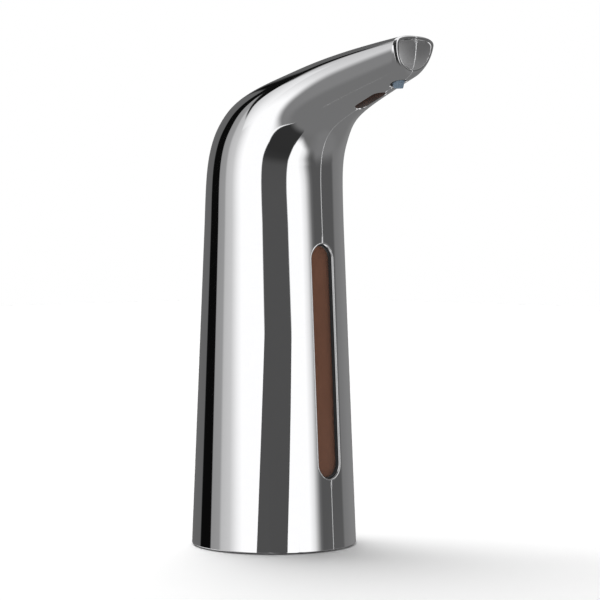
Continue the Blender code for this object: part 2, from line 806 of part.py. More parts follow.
def casing_ribs(side, name, middle_form):
    """Screw bosses, board shelf and hinge lug of one half shell, trimmed to its wall."""
    ribs = []
    bosses = []
    webs = []
    floor = FRAME_TOP + GAP
    for x, y in boss_places(side):
        boss = pipe(BOSS_RADIUS, SCREW_HOLE_RADIUS, floor, BOSS_TOP, SMALL_SIDES)
        boss.transform(Matrix.Translation((x, y, 0)))
        bosses.append(boss)
        inner = math.copysign(abs(x) + BOSS_RADIUS - WEB_THICKNESS / 2, x)
        outer = math.copysign(BASE_RADIUS, x)
        low_x, high_x = min(inner, outer), max(inner, outer)
        half = WEB_THICKNESS / 2
        webs.append(box(low_x, high_x, y - half, y + half, floor, BOSS_TOP))
    for k, (boss, web) in enumerate(zip(bosses, webs)):
        obj = piece(f"{name}_boss_{k}", boss)
        fuse(obj, piece(f"{name}_web_{k}", web))
        ribs.append(obj)
    low = -BOARD_DEPTH - BOARD_THICKNESS - GAP - SHELF_THICKNESS
    near = side * (BOARD_HALF_WIDTH - SHELF_REACH)
    far = side * BASE_RADIUS
    shelf = box(-SHELF_INSET, SHELF_INSET, min(near, far), max(near, far), low, low + SHELF_THICKNESS)
    ribs.append(on_frame(f"{name}_shelf", shelf, BUTTON_FRAME))
    near = side * (NOTCH_HALF + GAP)
    far = near + side * LUG_LENGTH
    lug = box(-LUG_WIDTH / 2, LUG_WIDTH / 2, min(near, far), max(near, far), -LUG_DEPTH, 0)
    ribs.append(on_frame(f"{name}_lug", lug, HINGE_FRAME))
    for rib in ribs:
        keep(rib, middle_form)
    return ribs


def build_casing():
    """The two half shells, their end cap and everything seen set into them."""
    outer_form = casing_form(0.0, "outer_form")
    middle_form = casing_form(WALL / 2, "middle_form")
    inner_form = casing_form(WALL, "inner_form")
    cutters = casing_cutters()
    for name, side in (("left_shell", 1), ("right_shell", -1)):
        shell = piece(name, half_shell_mesh(side), CHROME)
        for rib in casing_ribs(side, name, middle_form):
            fuse(shell, rib)
        for cutter in cutters:
            cut(shell, cutter)
    build_end_cap()
    build_level_window()
    build_sensor_window()
    build_nozzle()
    build_button(outer_form)
    build_fill_lid(outer_form, inner_form)


def build_end_cap():
    """The shield-shaped plate in the end of the spout, slightly domed."""
    rim = FACE_RIM + GAP
    rings = [face_ring(rim, WALL), face_ring(rim, GAP)]
    dome = [full_ring(ring) for ring in rings]
    centre = sum(dome[1], Vector()) / len(dome[1])
    crown = (dome[1][0] - dome[0][0]) * (GAP / (WALL - GAP))
    for share in DOME_SHARES:
        lift = crown * (1 - share * share)
        dome.append([centre + (p - centre) * share + lift for p in dome[1]])
    piece("spout_end_cap", loft(dome), CHROME)


def build_level_window():
    """The smoked sight glass behind the slot, and the soft ring round it."""
    overlap = 2 * WINDOW_OVERLAP
    glass = prism(stadium(slot_length() + overlap, SLOT_WIDTH + overlap), -WINDOW_THICKNESS, 0)
    on_frame("level_window", glass, WINDOW_FRAME, SMOKED, WINDOW_DEPTH)
    outer = stadium(slot_length() - 2 * GAP, SLOT_WIDTH - 2 * GAP)
    band = 2 * (GAP + GASKET_BAND)
    inner = stadium(slot_length() - band, SLOT_WIDTH - band)
    ring = ring_plate(outer, inner, -GASKET_THICKNESS, 0)
    on_frame("window_gasket", ring, WINDOW_FRAME, BLACK_RUBBER, GASKET_DEPTH)


def build_sensor_window():
    """The dark lens under the spout, through which the sensor looks."""
    outline = stadium(SENSOR_LENGTH - 2 * GAP, SENSOR_WIDTH - 2 * GAP)
    lens = prism(outline, -SENSOR_THICKNESS, 0)
    on_frame("sensor_window", lens, SENSOR_FRAME, SENSOR_BLACK, SENSOR_DEPTH)


def build_nozzle():
    """The cone that the liquid leaves by, its valve and the black ring round it."""
    tip = Vector((NOZZLE_X, 0, NOZZLE_TIP_Z))
    body = turned((
        (NOZZLE_BORE_RADIUS, 0),
        (NOZZLE_TIP_RADIUS, 0),
        (NOZZLE_RADIUS, NOZZLE_CONE),
        (NOZZLE_RADIUS, NOZZLE_HEIGHT),
        (0, NOZZLE_HEIGHT),
        (0, CHAMBER_LOW + CHAMBER_HEIGHT),
        (CHAMBER_RADIUS, CHAMBER_LOW + CHAMBER_HEIGHT),
        (CHAMBER_RADIUS, CHAMBER_LOW),
        (NOZZLE_BORE_RADIUS, CHAMBER_LOW),
    ), SMALL_SIDES)
    nozzle = place(piece("nozzle", body, BLUE_GREY), tip)
    start = -(NOZZLE_RADIUS + SPIGOT_LENGTH)
    spigot = rod(SPIGOT_RADIUS, start, -(CHAMBER_RADIUS + NOZZLE_RADIUS) / 2, SMALL_SIDES)
    bore = rod(SPIGOT_BORE, start - OVERRUN, 0, SMALL_SIDES)
    for mesh in (spigot, bore):
        mesh.transform(Matrix.Rotation(math.pi / 2, 4, "Y"))
        mesh.transform(Matrix.Translation((0, 0, SPIGOT_Z_RISE)))
    fuse(nozzle, place(piece("spigot", spigot), tip))
    cut(nozzle, place(piece("spigot_cutter", bore), tip))
    radius = CHAMBER_RADIUS - GAP
    low = CHAMBER_LOW + GAP
    lip = VALVE_WALL / 2
    valve = turned((
        (lip, low),
        (NOZZLE_BORE_RADIUS, low),
        (radius, low + VALVE_WALL),
        (radius, low + VALVE_HEIGHT),
        (NOZZLE_BORE_RADIUS, low + VALVE_HEIGHT),
        (lip, low + VALVE_WALL),
    ), SMALL_SIDES)
    place(piece("check_valve", valve, SILICONE), tip)
    outer = NOZZLE_HOLE_RADIUS - GAP
    inner = outer - COLLAR_WALL
    collar = turned((
        (inner, 0),
        (outer, 0),
        (outer, COLLAR_HEIGHT),
        (outer + COLLAR_FLANGE, COLLAR_HEIGHT),
        (outer + COLLAR_FLANGE, COLLAR_HEIGHT + COLLAR_FLANGE_HEIGHT),
        (inner, COLLAR_HEIGHT + COLLAR_FLANGE_HEIGHT),
    ))
    ring = place(piece("nozzle_collar", collar, BLACK_RUBBER), tip)
    keep(ring, casing_form(COLLAR_DEPTH, "collar_form"))


def build_button(outer_form):
    """The power button, flush with the spout's top, and the light beside it."""
    body = rod(BUTTON_RADIUS, -BUTTON_STEM_DEPTH, OVERRUN)
    cap = on_frame("power_button", body, BUTTON_FRAME, CHROME)
    keep(cap, outer_form)
    low = -BUTTON_FLANGE_DEPTH - BUTTON_FLANGE_HEIGHT
    waste = pipe(2 * BUTTON_RADIUS, BUTTON_STEM_RADIUS, -BUTTON_STEM_DEPTH - OVERRUN, low)
    cut(cap, on_frame("button_waste", waste, BUTTON_FRAME))
    flange = rod(BUTTON_FLANGE_RADIUS, low, -BUTTON_FLANGE_DEPTH)
    fuse(cap, on_frame("button_flange", flange, BUTTON_FRAME))
    light_low = -BOARD_DEPTH + SWITCH_HEIGHT
    flange_high = -BUTTON_FLANGE_DEPTH
    pipe_mesh = turned((
        (0, light_low),
        (LIGHT_RADIUS + LIGHT_FLANGE, light_low),
        (LIGHT_RADIUS + LIGHT_FLANGE, flange_high),
        (LIGHT_RADIUS, flange_high),
        (LIGHT_RADIUS, OVERRUN),
        (0, OVERRUN),
    ), SMALL_SIDES)
    pipe_mesh.transform(Matrix.Translation((LIGHT_AHEAD, 0, 0)))
    keep(on_frame("indicator_light", pipe_mesh, BUTTON_FRAME, LAMP), outer_form)


def hinge_arm():
    """The lid's knuckle and the strap from it to the lid, along Y through the pin's axis."""
    top = math.asin(STRAP_TOP / KNUCKLE_RADIUS)
    low = math.asin(STRAP_LOW / KNUCKLE_RADIUS)
    outline = []
    for k in range(KNUCKLE_STEPS + 1):
        angle = top + (2 * math.pi + low - top) * k / KNUCKLE_STEPS
        outline.append((KNUCKLE_RADIUS * math.cos(angle), KNUCKLE_RADIUS * math.sin(angle)))
    outline += [(STRAP_AHEAD, STRAP_LOW), (STRAP_AHEAD, STRAP_TOP)]
    mesh = prism(outline, -KNUCKLE_HALF, KNUCKLE_HALF)
    mesh.transform(Matrix.Rotation(math.pi / 2, 4, "X"))
    return mesh


def build_fill_lid(outer_form, inner_form):
    """The hinged lid with its edge tapered to swing clear, its pin and its stopper."""
    radius = LID_HOLE_RADIUS - LID_GAP
    low = -PLUG_DEPTH - OVERRUN
    disc = turned((
        (0, low),
        (radius - LID_TAPER, low),
        (radius, 0),
        (radius, OVERRUN),
        (0, OVERRUN),
    ), 2 * SIDES)
    lid = on_frame("fill_lid", disc, LID_FRAME, CHROME)
    keep(lid, outer_form)
    cut(lid, inner_form)
    fuse(lid, on_frame("lid_arm", hinge_arm(), HINGE_FRAME, depth=HINGE_DEPTH))
    bore = across(PIN_RADIUS + PIN_CLEARANCE, 2 * KNUCKLE_HALF)
    cut(lid, place(piece("knuckle_cutter", bore), HINGE_POINT))
    place(piece("lid_pin", across(PIN_RADIUS, PIN_HALF_LENGTH), STEEL), HINGE_POINT)
    plug = rod(PLUG_RADIUS, -PLUG_DEPTH, OVERRUN, 2 * SIDES)
    stopper = on_frame("fill_plug", plug, LID_FRAME, SILICONE)
    keep(stopper, casing_form(WALL + GAP, "plug_form"))


def column_ring(z, inset):
    ring = half_ring(station_at(z), inset)
    return full_ring([Vector((p.x, p.y, z)) for p in ring])


def column_solid(low, high, inset):
    """A solid that follows the inside of the column between two heights."""
    return loft([column_ring(low, inset), column_ring(high, inset)])


def window_pocket(name, extra):
    """Room behind the level window, cut from what stands in the column."""
    depth = WINDOW_DEPTH + WINDOW_THICKNESS + GAP + extra
    half = SLOT_WIDTH / 2 + WINDOW_OVERLAP + GAP + extra
    reach = TANK_TOP - TANK_LOW
    room = box(-reach, reach, -half, half, -depth, OVERRUN)
    return on_frame(name, room, WINDOW_FRAME)


def wire_channel(name, extra):
    """Room for the battery leads down the right side of the column."""
    half = CHANNEL_WIDTH / 2 + extra
    depth = CHANNEL_DEPTH + extra
    rings = []
    for z in (TANK_LOW - OVERRUN, LID_HIGH + OVERRUN):
        inner = half_width(station_at(z)) - WALL - depth
        outer = BASE_RADIUS + OVERRUN
        corners = ((-half, -outer), (half, -outer), (half, -inner), (-half, -inner))
        rings.append([Vector((x, y, z)) for x, y in corners])
    return piece(name, loft(rings))


def build_tank():
    """The liquid tank with its gasket, lid, filler neck, suction tube and strainer."""
    inset = WALL + TANK_CLEARANCE
    tank = piece("tank", column_solid(TANK_LOW, TANK_TOP, inset), CLEAR_PLASTIC)
    cut(tank, window_pocket("tank_pocket", 0.0))
    cut(tank, wire_channel("tank_channel", 0.0))
    floor = TANK_LOW + TANK_WALL
    hollow = piece("tank_hollow", column_solid(floor, TANK_TOP + OVERRUN, inset + TANK_WALL))
    cut(hollow, window_pocket("hollow_pocket", TANK_WALL))
    cut(hollow, wire_channel("hollow_channel", TANK_WALL))
    cut(tank, hollow)
    gasket_low = TANK_TOP + GAP
    gasket = piece("tank_gasket", column_solid(gasket_low, gasket_low + GASKET_HEIGHT, inset), SILICONE)
    cut(gasket, window_pocket("gasket_pocket", 0.0))
    cut(gasket, wire_channel("gasket_channel", 0.0))
    cut(gasket, hollow)
    build_tank_lid(inset)
    build_suction()


def build_tank_lid(inset):
    """The plate that closes the tank, with the motor's cradle, and the filler neck in it."""
    lid = piece("tank_lid", column_solid(LID_LOW, LID_HIGH, inset), WHITE_PLASTIC)
    cradle_radius = MOTOR_RADIUS + GAP + CRADLE_WALL
    cradle = rod(cradle_radius, LID_LOW + CRADLE_WALL, LID_HIGH + CRADLE_HEIGHT)
    fuse(lid, place(piece("cradle", cradle), (PUMP_X, 0, 0)))
    seat = rod(MOTOR_RADIUS + GAP, MOTOR_LOW - GAP, LID_HIGH + CRADLE_HEIGHT + OVERRUN)
    cut(lid, place(piece("cradle_cutter", seat), (PUMP_X, 0, 0)))
    cut(lid, wire_channel("lid_channel", 0.0))
    hole = rod(FILLER_RADIUS + GAP, LID_LOW - OVERRUN, LID_HIGH + OVERRUN)
    cut(lid, place(piece("filler_cutter", hole), (FILLER_POINT.x, 0, 0)))
    hole = rod(TUBE_RADIUS + GAP, LID_LOW - OVERRUN, LID_HIGH + OVERRUN, SMALL_SIDES)
    cut(lid, place(piece("tube_cutter", hole), (RISER_X, -HOSE_ORBIT, 0)))
    flange_low = LID_HIGH + GAP
    inner = FILLER_RADIUS - FILLER_WALL
    neck = turned((
        (inner, LID_LOW),
        (FILLER_RADIUS, LID_LOW),
        (FILLER_RADIUS, flange_low),
        (FILLER_RADIUS + FILLER_FLANGE, flange_low),
        (FILLER_RADIUS + FILLER_FLANGE, flange_low + FILLER_FLANGE_HEIGHT),
        (FILLER_RADIUS, flange_low + FILLER_FLANGE_HEIGHT),
        (FILLER_RADIUS, SPOUT_TOP),
        (inner, SPOUT_TOP),
    ))
    filler = place(piece("filler_neck", neck, WHITE_PLASTIC), (FILLER_POINT.x, 0, 0))
    reach = 2 * BASE_RADIUS
    above = box(-reach, reach, -reach, reach, -NECK_MOUTH_DEPTH, reach)
    cut(filler, on_frame("mouth_cutter", above, LID_FRAME))


def build_suction():
    """The tube that draws from the tank's floor, and the strainer round its foot."""
    foot = TANK_LOW + TANK_WALL + STRAINER_FLOOR_GAP
    low = foot + STRAINER_WALL + STRAINER_FLOOR_GAP
    tube = pipe(TUBE_RADIUS, TUBE_RADIUS - TUBE_WALL, low, LID_HIGH + TUBE_RISE, SMALL_SIDES)
    place(piece("suction_tube", tube, CLEAR_PLASTIC), (RISER_X, -HOSE_ORBIT, 0))
    bore = TUBE_RADIUS + GAP
    cup = turned((
        (0, foot),
        (STRAINER_RADIUS, foot),
        (STRAINER_RADIUS, foot + STRAINER_HEIGHT),
        (bore, foot + STRAINER_HEIGHT),
        (bore, foot + STRAINER_WALL),
        (0, foot + STRAINER_WALL),
    ), SMALL_SIDES)
    strainer = place(piece("strainer", cup, WHITE_PLASTIC), (RISER_X, -HOSE_ORBIT, 0))
    slit = STRAINER_WALL / 2
    low = foot + STRAINER_WALL + slit
    high = foot + STRAINER_HEIGHT - STRAINER_WALL
    slits = [
        box(-slit, slit, -STRAINER_RADIUS - OVERRUN, STRAINER_RADIUS + OVERRUN, low, high),
        box(-STRAINER_RADIUS - OVERRUN, STRAINER_RADIUS + OVERRUN, -slit, slit, low, high),
    ]
    for k, mesh in enumerate(slits):
        cut(strainer, place(piece(f"slit_cutter_{k}", mesh), (RISER_X, -HOSE_ORBIT, 0)))


def screw(name, size, spot, head_down):
    """A slotted screw of a size (radius, head radius, head height, length), head face at the spot."""
    radius, head_radius, head_height, length = size
    profile = (
        (0, 0),
        (head_radius, 0),
        (head_radius, head_height),
        (radius, head_height),
        (radius, head_height + length),
        (0, head_height + length),
    )
    body = piece(name, turned(profile, SMALL_SIDES), STEEL)
    reach = head_radius + OVERRUN
    slot = box(-reach, reach, -DRIVE_WIDTH / 2, DRIVE_WIDTH / 2, -OVERRUN, DRIVE_DEPTH)
    cutter = piece(name + "_slot", slot)
    for obj in (body, cutter):
        obj.location = spot
        if not head_down:
            obj.rotation_euler = (math.pi, 0, 0)
    cut(body, cutter)


def build_motor():
    """The motor can and its shaft, which is also the pump's sun roller."""
    half = MOTOR_HALF_FLAT
    side = math.sqrt(MOTOR_RADIUS**2 - half**2)
    start = math.atan2(half, side)
    outline = []
    for base in (0, math.pi):
        for k in range(MOTOR_STEPS + 1):
            angle = base - start + 2 * start * k / MOTOR_STEPS
            outline.append((MOTOR_RADIUS * math.cos(angle), MOTOR_RADIUS * math.sin(angle)))
    can = place(piece("motor", prism(outline, MOTOR_LOW, MOTOR_TOP), STEEL), (PUMP_X, 0, 0))
    bore = rod(SHAFT_RADIUS + GAP, MOTOR_TOP - SHAFT_SINK - GAP, MOTOR_TOP + OVERRUN, SMALL_SIDES)
    cut(can, place(piece("motor_bore", bore), (PUMP_X, 0, 0)))
    shaft = rod(SHAFT_RADIUS, MOTOR_TOP - SHAFT_SINK, PUMP_TOP - GAP, SMALL_SIDES)
    place(piece("motor_shaft", shaft, STEEL), (PUMP_X, 0, 0))


def ear_places():
    signs = (1, -1)
    out = PUMP_SCREW_OUT
    angles = [sign * PUMP_SCREW_ANGLE for sign in signs]
    return [(out * math.cos(angle), out * math.sin(angle)) for angle in angles]


def add_ears(obj, name, low, high):
    """Two screw ears on a round pump piece, with their holes."""
    spots = [Vector((PUMP_X + x, y, 0)) for x, y in ear_places()]
    for k, spot in enumerate(spots):
        fuse(obj, place(piece(f"{name}_ear_{k}", rod(EAR_RADIUS, low, high, SIDES)), spot))
    for k, spot in enumerate(spots):
        hole = rod(SCREW_RADIUS + PIN_CLEARANCE, low - OVERRUN, high + OVERRUN, SMALL_SIDES)
        cut(obj, place(piece(f"{name}_ear_hole_{k}", hole), spot))


def build_pump():
    """The roller pump: housing, cover, carrier and rollers that roll on the shaft."""
    centre = (PUMP_X, 0, 0)
    outer = RACE_RADIUS + RACE_WALL
    floor = PUMP_LOW + PUMP_FLOOR
    cup = turned((
        (SHAFT_RADIUS + GAP, PUMP_LOW),
        (outer, PUMP_LOW),
        (outer, PUMP_TOP),
        (RACE_RADIUS, PUMP_TOP),
        (RACE_RADIUS, floor),
        (SHAFT_RADIUS + GAP, floor),
    ), 2 * SIDES)
    housing = place(piece("pump_housing", cup, GREY_PLASTIC), centre)
    add_ears(housing, "housing", floor, PUMP_TOP - GAP)
    half = HOSE_RADIUS + GAP
    for side in (1, -1):
        middle = side * HOSE_ORBIT
        gate_low = HOSE_Z - HOSE_SQUEEZED_HEIGHT - GAP
        gate = box(-outer - OVERRUN, 0, middle - half, middle + half, gate_low, PUMP_TOP + OVERRUN)
        cut(housing, place(piece(f"hose_gate_{side}", gate), centre))
    low = PUMP_TOP + GAP
    plate = rod(outer, low, low + PUMP_FLOOR, 2 * SIDES)
    cover = place(piece("pump_cover", plate, GREY_PLASTIC), centre)
    add_ears(cover, "cover", low + GAP, low + PUMP_FLOOR - GAP)
    for k, (x, y) in enumerate(ear_places()):
        head = (PUMP_X + x, y, low + PUMP_FLOOR + SCREW_HEAD_HEIGHT)
        screw(f"pump_screw_{k + 1}", PUMP_SCREW, head, False)
    build_carrier(centre)


def roller_angles():
    return [2 * math.pi * k / ROLLERS for k in range(ROLLERS)]


def build_carrier(centre):
    """The plate that carries the roller axles, and the rollers."""
    high = CARRIER_LOW + CARRIER_THICKNESS
    plate = pipe(CARRIER_RADIUS, SHAFT_RADIUS + GAP, CARRIER_LOW, high)
    carrier = place(piece("pump_carrier", plate, WHITE_PLASTIC), centre)
    axle_high = ROLLER_LOW + ROLLER_HEIGHT + GAP
    for k, angle in enumerate(roller_angles()):
        x = PUMP_X + ROLLER_ORBIT * math.cos(angle)
        y = ROLLER_ORBIT * math.sin(angle)
        axle = rod(AXLE_RADIUS, CARRIER_LOW + CARRIER_THICKNESS / 2, axle_high, SMALL_SIDES)
        fuse(carrier, place(piece(f"axle_{k}", axle), (x, y, 0)))
        outer = ROLLER_PITCH_RADIUS - GAP
        roller = pipe(outer, AXLE_RADIUS + PIN_CLEARANCE, ROLLER_LOW, ROLLER_LOW + ROLLER_HEIGHT)
        place(piece(f"pump_roller_{k + 1}", roller, SILICONE), (x, y, 0))


def arc(centre, start, end, radius):
    """Points of a quarter arc about a centre, from one unit direction to another."""
    points = []
    for k in range(1, ARC_STEPS + 1):
        angle = math.pi / 2 * k / ARC_STEPS
        points.append(centre + radius * (math.cos(angle) * start + math.sin(angle) * end))
    return points


def sweep(path, across_sizes, along_sizes, first_side, sides, wall=0.0):
    """A tube along a path, with its half sizes at each point, hollow if it has a wall."""
    side = first_side
    outer = []
    inner = []
    for k, point in enumerate(path):
        before = path[max(k - 1, 0)]
        after = path[min(k + 1, len(path) - 1)]
        tangent = (after - before).normalized()
        side = (side - tangent * side.dot(tangent)).normalized()
        other = tangent.cross(side)
        for ring, less in ((outer, 0.0), (inner, wall)):
            points = []
            for step in range(sides):
                angle = 2 * math.pi * step / sides
                a = (across_sizes[k] - less) * math.cos(angle)
                b = (along_sizes[k] - less) * math.sin(angle)
                points.append(point + side * a + other * b)
            ring.append(points)
    if not wall:
        return loft(outer)
    rings = outer + inner[::-1]
    points = [point for ring in rings for point in ring]
    faces = []
    for level in range(len(rings)):
        here = level * sides
        there = (level + 1) % len(rings) * sides
        for step in range(sides):
            after = (step + 1) % sides
            faces.append((here + step, here + after, there + after, there + step))
    return mesh_of(points, faces)


def build_hose():
    """One soft hose from the suction tube round the pump's race to the nozzle."""
    up = Vector((0, 0, 1))
    ahead = Vector((1, 0, 0))
    side = Vector((0, 1, 0))
    start = Vector((RISER_X, -HOSE_ORBIT, LID_HIGH + TUBE_RISE + GAP))
    path = [start, Vector((RISER_X, -HOSE_ORBIT, (start.z + HOSE_Z - HOSE_BEND) / 2))]
    path.append(Vector((RISER_X, -HOSE_ORBIT, HOSE_Z - HOSE_BEND)))
    centre = Vector((RISER_X + HOSE_BEND, -HOSE_ORBIT, HOSE_Z - HOSE_BEND))
    path += arc(centre, -ahead, up, HOSE_BEND)
    first = len(path)
    middle = Vector((PUMP_X, 0, HOSE_Z))
    for k in range(RACE_STEPS + 1):
        angle = math.pi * (k / RACE_STEPS - 0.5)
        path.append(middle + HOSE_ORBIT * (ahead * math.cos(angle) + side * math.sin(angle)))
    last = len(path)
    path.append(Vector((RISER_X + HOSE_BEND, HOSE_ORBIT, HOSE_Z)))
    centre = Vector((RISER_X + HOSE_BEND, HOSE_ORBIT, HOSE_Z + HOSE_BEND))
    path += arc(centre, -up, -ahead, HOSE_BEND)
    squeezed = [first <= k < last for k in range(len(path))]
    end = Vector((NOZZLE_X - NOZZLE_RADIUS - 2 * GAP, 0, NOZZLE_TIP_Z + SPIGOT_Z_RISE))
    last_bend = path[-1]
    controls = [last_bend]
    controls += [last_bend + up * (end.z - last_bend.z) * share for share in HOSE_RISE_SHARES]
    for station, share, across_share in HOSE_ROUTE_SHARES:
        front = front_point(station)
        x, z = front + (back_point(station) - front) * share
        controls.append(Vector((x, HOSE_ORBIT * (1 - across_share), z)))
    controls += [end - ahead * HOSE_BEND, end - ahead * HOSE_BEND / 2, end]
    rest = spline([tuple(point) for point in controls], np.linspace(0, 1, HOSE_STEPS))
    path += [Vector(point) for point in rest[1:]]
    squeezed += [False] * (len(path) - len(squeezed))
    across_sizes = [HOSE_SQUEEZED / 2 if flat else HOSE_RADIUS for flat in squeezed]
    along_sizes = [HOSE_SQUEEZED_HEIGHT if flat else HOSE_RADIUS for flat in squeezed]
    mesh = sweep(path, across_sizes, along_sizes, side, HOSE_SIDES, HOSE_WALL)
    piece("pump_hose", mesh, SILICONE)


def build_electronics():
    """The board under the spout's top, its switch and the two diodes of the sensor."""
    high = -BOARD_DEPTH
    low = high - BOARD_THICKNESS
    board = box(-BOARD_BEHIND, BOARD_AHEAD, -BOARD_HALF_WIDTH, BOARD_HALF_WIDTH, low, high)
    on_frame("main_board", board, BUTTON_FRAME, BOARD_GREEN, smooth=False)
    half = SWITCH_SIZE / 2
    base = high + GAP
    switch = box(-half, half, -half, half, base, base + SWITCH_HEIGHT)
    top = base + SWITCH_HEIGHT
    plunger = rod(PLUNGER_RADIUS, base + SWITCH_HEIGHT / 2, top + PLUNGER_HEIGHT, SMALL_SIDES)
    switch = on_frame("button_switch", switch, BUTTON_FRAME, GREY_PLASTIC, smooth=False)
    fuse(switch, on_frame("switch_plunger", plunger, BUTTON_FRAME))
    board_spot, board_normal, _ = BUTTON_FRAME
    spot, normal, tangent = SENSOR_FRAME
    for name, sign, finish in (("ir_emitter", 1, LAMP), ("ir_receiver", -1, SENSOR_BLACK)):
        base = spot + tangent * sign * SENSOR_SPACING / 2
        base -= normal * (SENSOR_DEPTH + SENSOR_THICKNESS + GAP)
        under = board_spot - board_normal * (BOARD_DEPTH + BOARD_THICKNESS + GAP)
        drop = (under - base).dot(board_normal)
        reach = drop / (-normal).dot(board_normal)
        leg_end = reach - 2 * DIODE_LEG_RADIUS
        diode = turned((
            (0, 0),
            (DIODE_RADIUS / 2, 0),
            (DIODE_RADIUS, DIODE_RADIUS / 2),
            (DIODE_RADIUS, DIODE_LENGTH),
            (DIODE_LEG_RADIUS, DIODE_LENGTH),
            (DIODE_LEG_RADIUS, leg_end),
            (0, leg_end),
        ), SMALL_SIDES)
        place(piece(name, diode, finish), base, -normal, tangent)


def build_base():
    """The frame that closes the foot, with the battery bay, and the soft ring under it."""
    plate = turned((
        (0, FRAME_LOW),
        (RABBET_RADIUS, FRAME_LOW),
        (RABBET_RADIUS, RABBET_TOP),
        (FRAME_RADIUS, RABBET_TOP),
        (FRAME_RADIUS, FRAME_TOP),
        (0, FRAME_TOP),
    ), 2 * SIDES)
    frame = piece("base_frame", plate, GREY_PLASTIC)
    wall_x = BAY_HALF_X + BAY_WALL
    wall_y = BAY_HALF_Y + BAY_WALL
    walls = box(-wall_x, wall_x, -wall_y, wall_y, (LEDGE_Z + FRAME_TOP) / 2, BAY_TOP)
    fuse(frame, piece("bay_walls", walls))
    opening = rounded_box(DOOR_HALF_X + GAP, DOOR_HALF_Y + GAP, DOOR_CORNER)
    cut(frame, piece("door_cutter", prism(opening, FRAME_LOW - OVERRUN, LEDGE_Z)))
    bay = box(-BAY_HALF_X, BAY_HALF_X, -BAY_HALF_Y, BAY_HALF_Y, LEDGE_Z - GAP, BAY_TOP - BAY_WALL)
    cut(frame, piece("bay_cutter", bay))
    pivot = across(PIVOT_RADIUS + PIN_CLEARANCE, DOOR_HALF_Y)
    cut(frame, place(piece("pivot_cutter", pivot), pivot_point()))
    sink = FRAME_LOW + SCREW_SINK
    number = 1
    for side in (1, -1):
        for x, y in boss_places(side):
            hole = turned((
                (0, FRAME_LOW - OVERRUN),
                (SHELL_SCREW_HEAD + GAP, FRAME_LOW - OVERRUN),
                (SHELL_SCREW_HEAD + GAP, sink),
                (SCREW_HOLE_RADIUS, sink),
                (SCREW_HOLE_RADIUS, FRAME_TOP + OVERRUN),
                (0, FRAME_TOP + OVERRUN),
            ), SMALL_SIDES)
            cut(frame, place(piece(f"screw_hole_{number}", hole), (x, y, 0)))
            spot = (x, y, sink - GAP - SHELL_SCREW_HEAD_HEIGHT)
            screw(f"shell_screw_{number}", SHELL_SCREW, spot, True)
            number += 1
    ring_low = RABBET_RADIUS + GAP
    piece("foot_ring", pipe(ring_low + RING_BAND, ring_low, 0, RING_TOP, 2 * SIDES), BLACK_RUBBER)


def pivot_point():
    return Vector((-DOOR_HALF_X + PIVOT_SET_IN, 0, DOOR_LOW + DOOR_THICKNESS / 2))


def build_door():
    """The battery door, which swings on two stub pivots, and the seal above it."""
    pivot = pivot_point()
    high = DOOR_LOW + DOOR_THICKNESS
    corner = DOOR_CORNER
    outline = rounded_sides(-pivot.x, DOOR_HALF_X, DOOR_HALF_Y, DOOR_HINGE_CORNER, corner)
    door = piece("battery_door", prism(outline, DOOR_LOW, high), GREY_PLASTIC)
    stub = across(PIVOT_RADIUS, DOOR_HALF_Y - PIVOT_SHORT)
    fuse(door, place(piece("door_pivot", stub), pivot))
    grip = rod(GRIP_RADIUS, DOOR_LOW - OVERRUN, DOOR_LOW + DOOR_THICKNESS / 2, SMALL_SIDES)
    cut(door, place(piece("grip_cutter", grip), (DOOR_HALF_X - GRIP_SET_IN, 0, 0)))
    seal_low = high + GAP
    outer = rounded_box(DOOR_HALF_X, DOOR_HALF_Y, corner)
    inner = rounded_box(DOOR_HALF_X - SEAL_BAND, DOOR_HALF_Y - SEAL_BAND, corner)
    piece("door_seal", ring_plate(outer, inner, seal_low, seal_low + SEAL_THICKNESS), BLACK_RUBBER)


def cell_x(index):
    return (index - (CELLS - 1) / 2) * CELL_SPACING


def cell_sign(index):
    """1 where the positive end is towards +Y."""
    return 1 if index % 2 == 0 else -1


def spring_mesh(free):
    """A coil of round wire along Z, as tall as the room that is free for it."""
    steps = SPRING_STEPS * SPRING_TURNS
    path = []
    for k in range(steps + 1):
        x, y, _ = Matrix.Rotation(2 * math.pi * k / SPRING_STEPS, 3, "Z") @ Vector((SPRING_RADIUS, 0, 0))
        path.append(Vector((x, y, SPRING_WIRE + (free - 2 * SPRING_WIRE) * k / steps)))
    sizes = [SPRING_WIRE] * len(path)
    return sweep(path, sizes, sizes, Vector((0, 0, 1)), SPRING_SIDES)


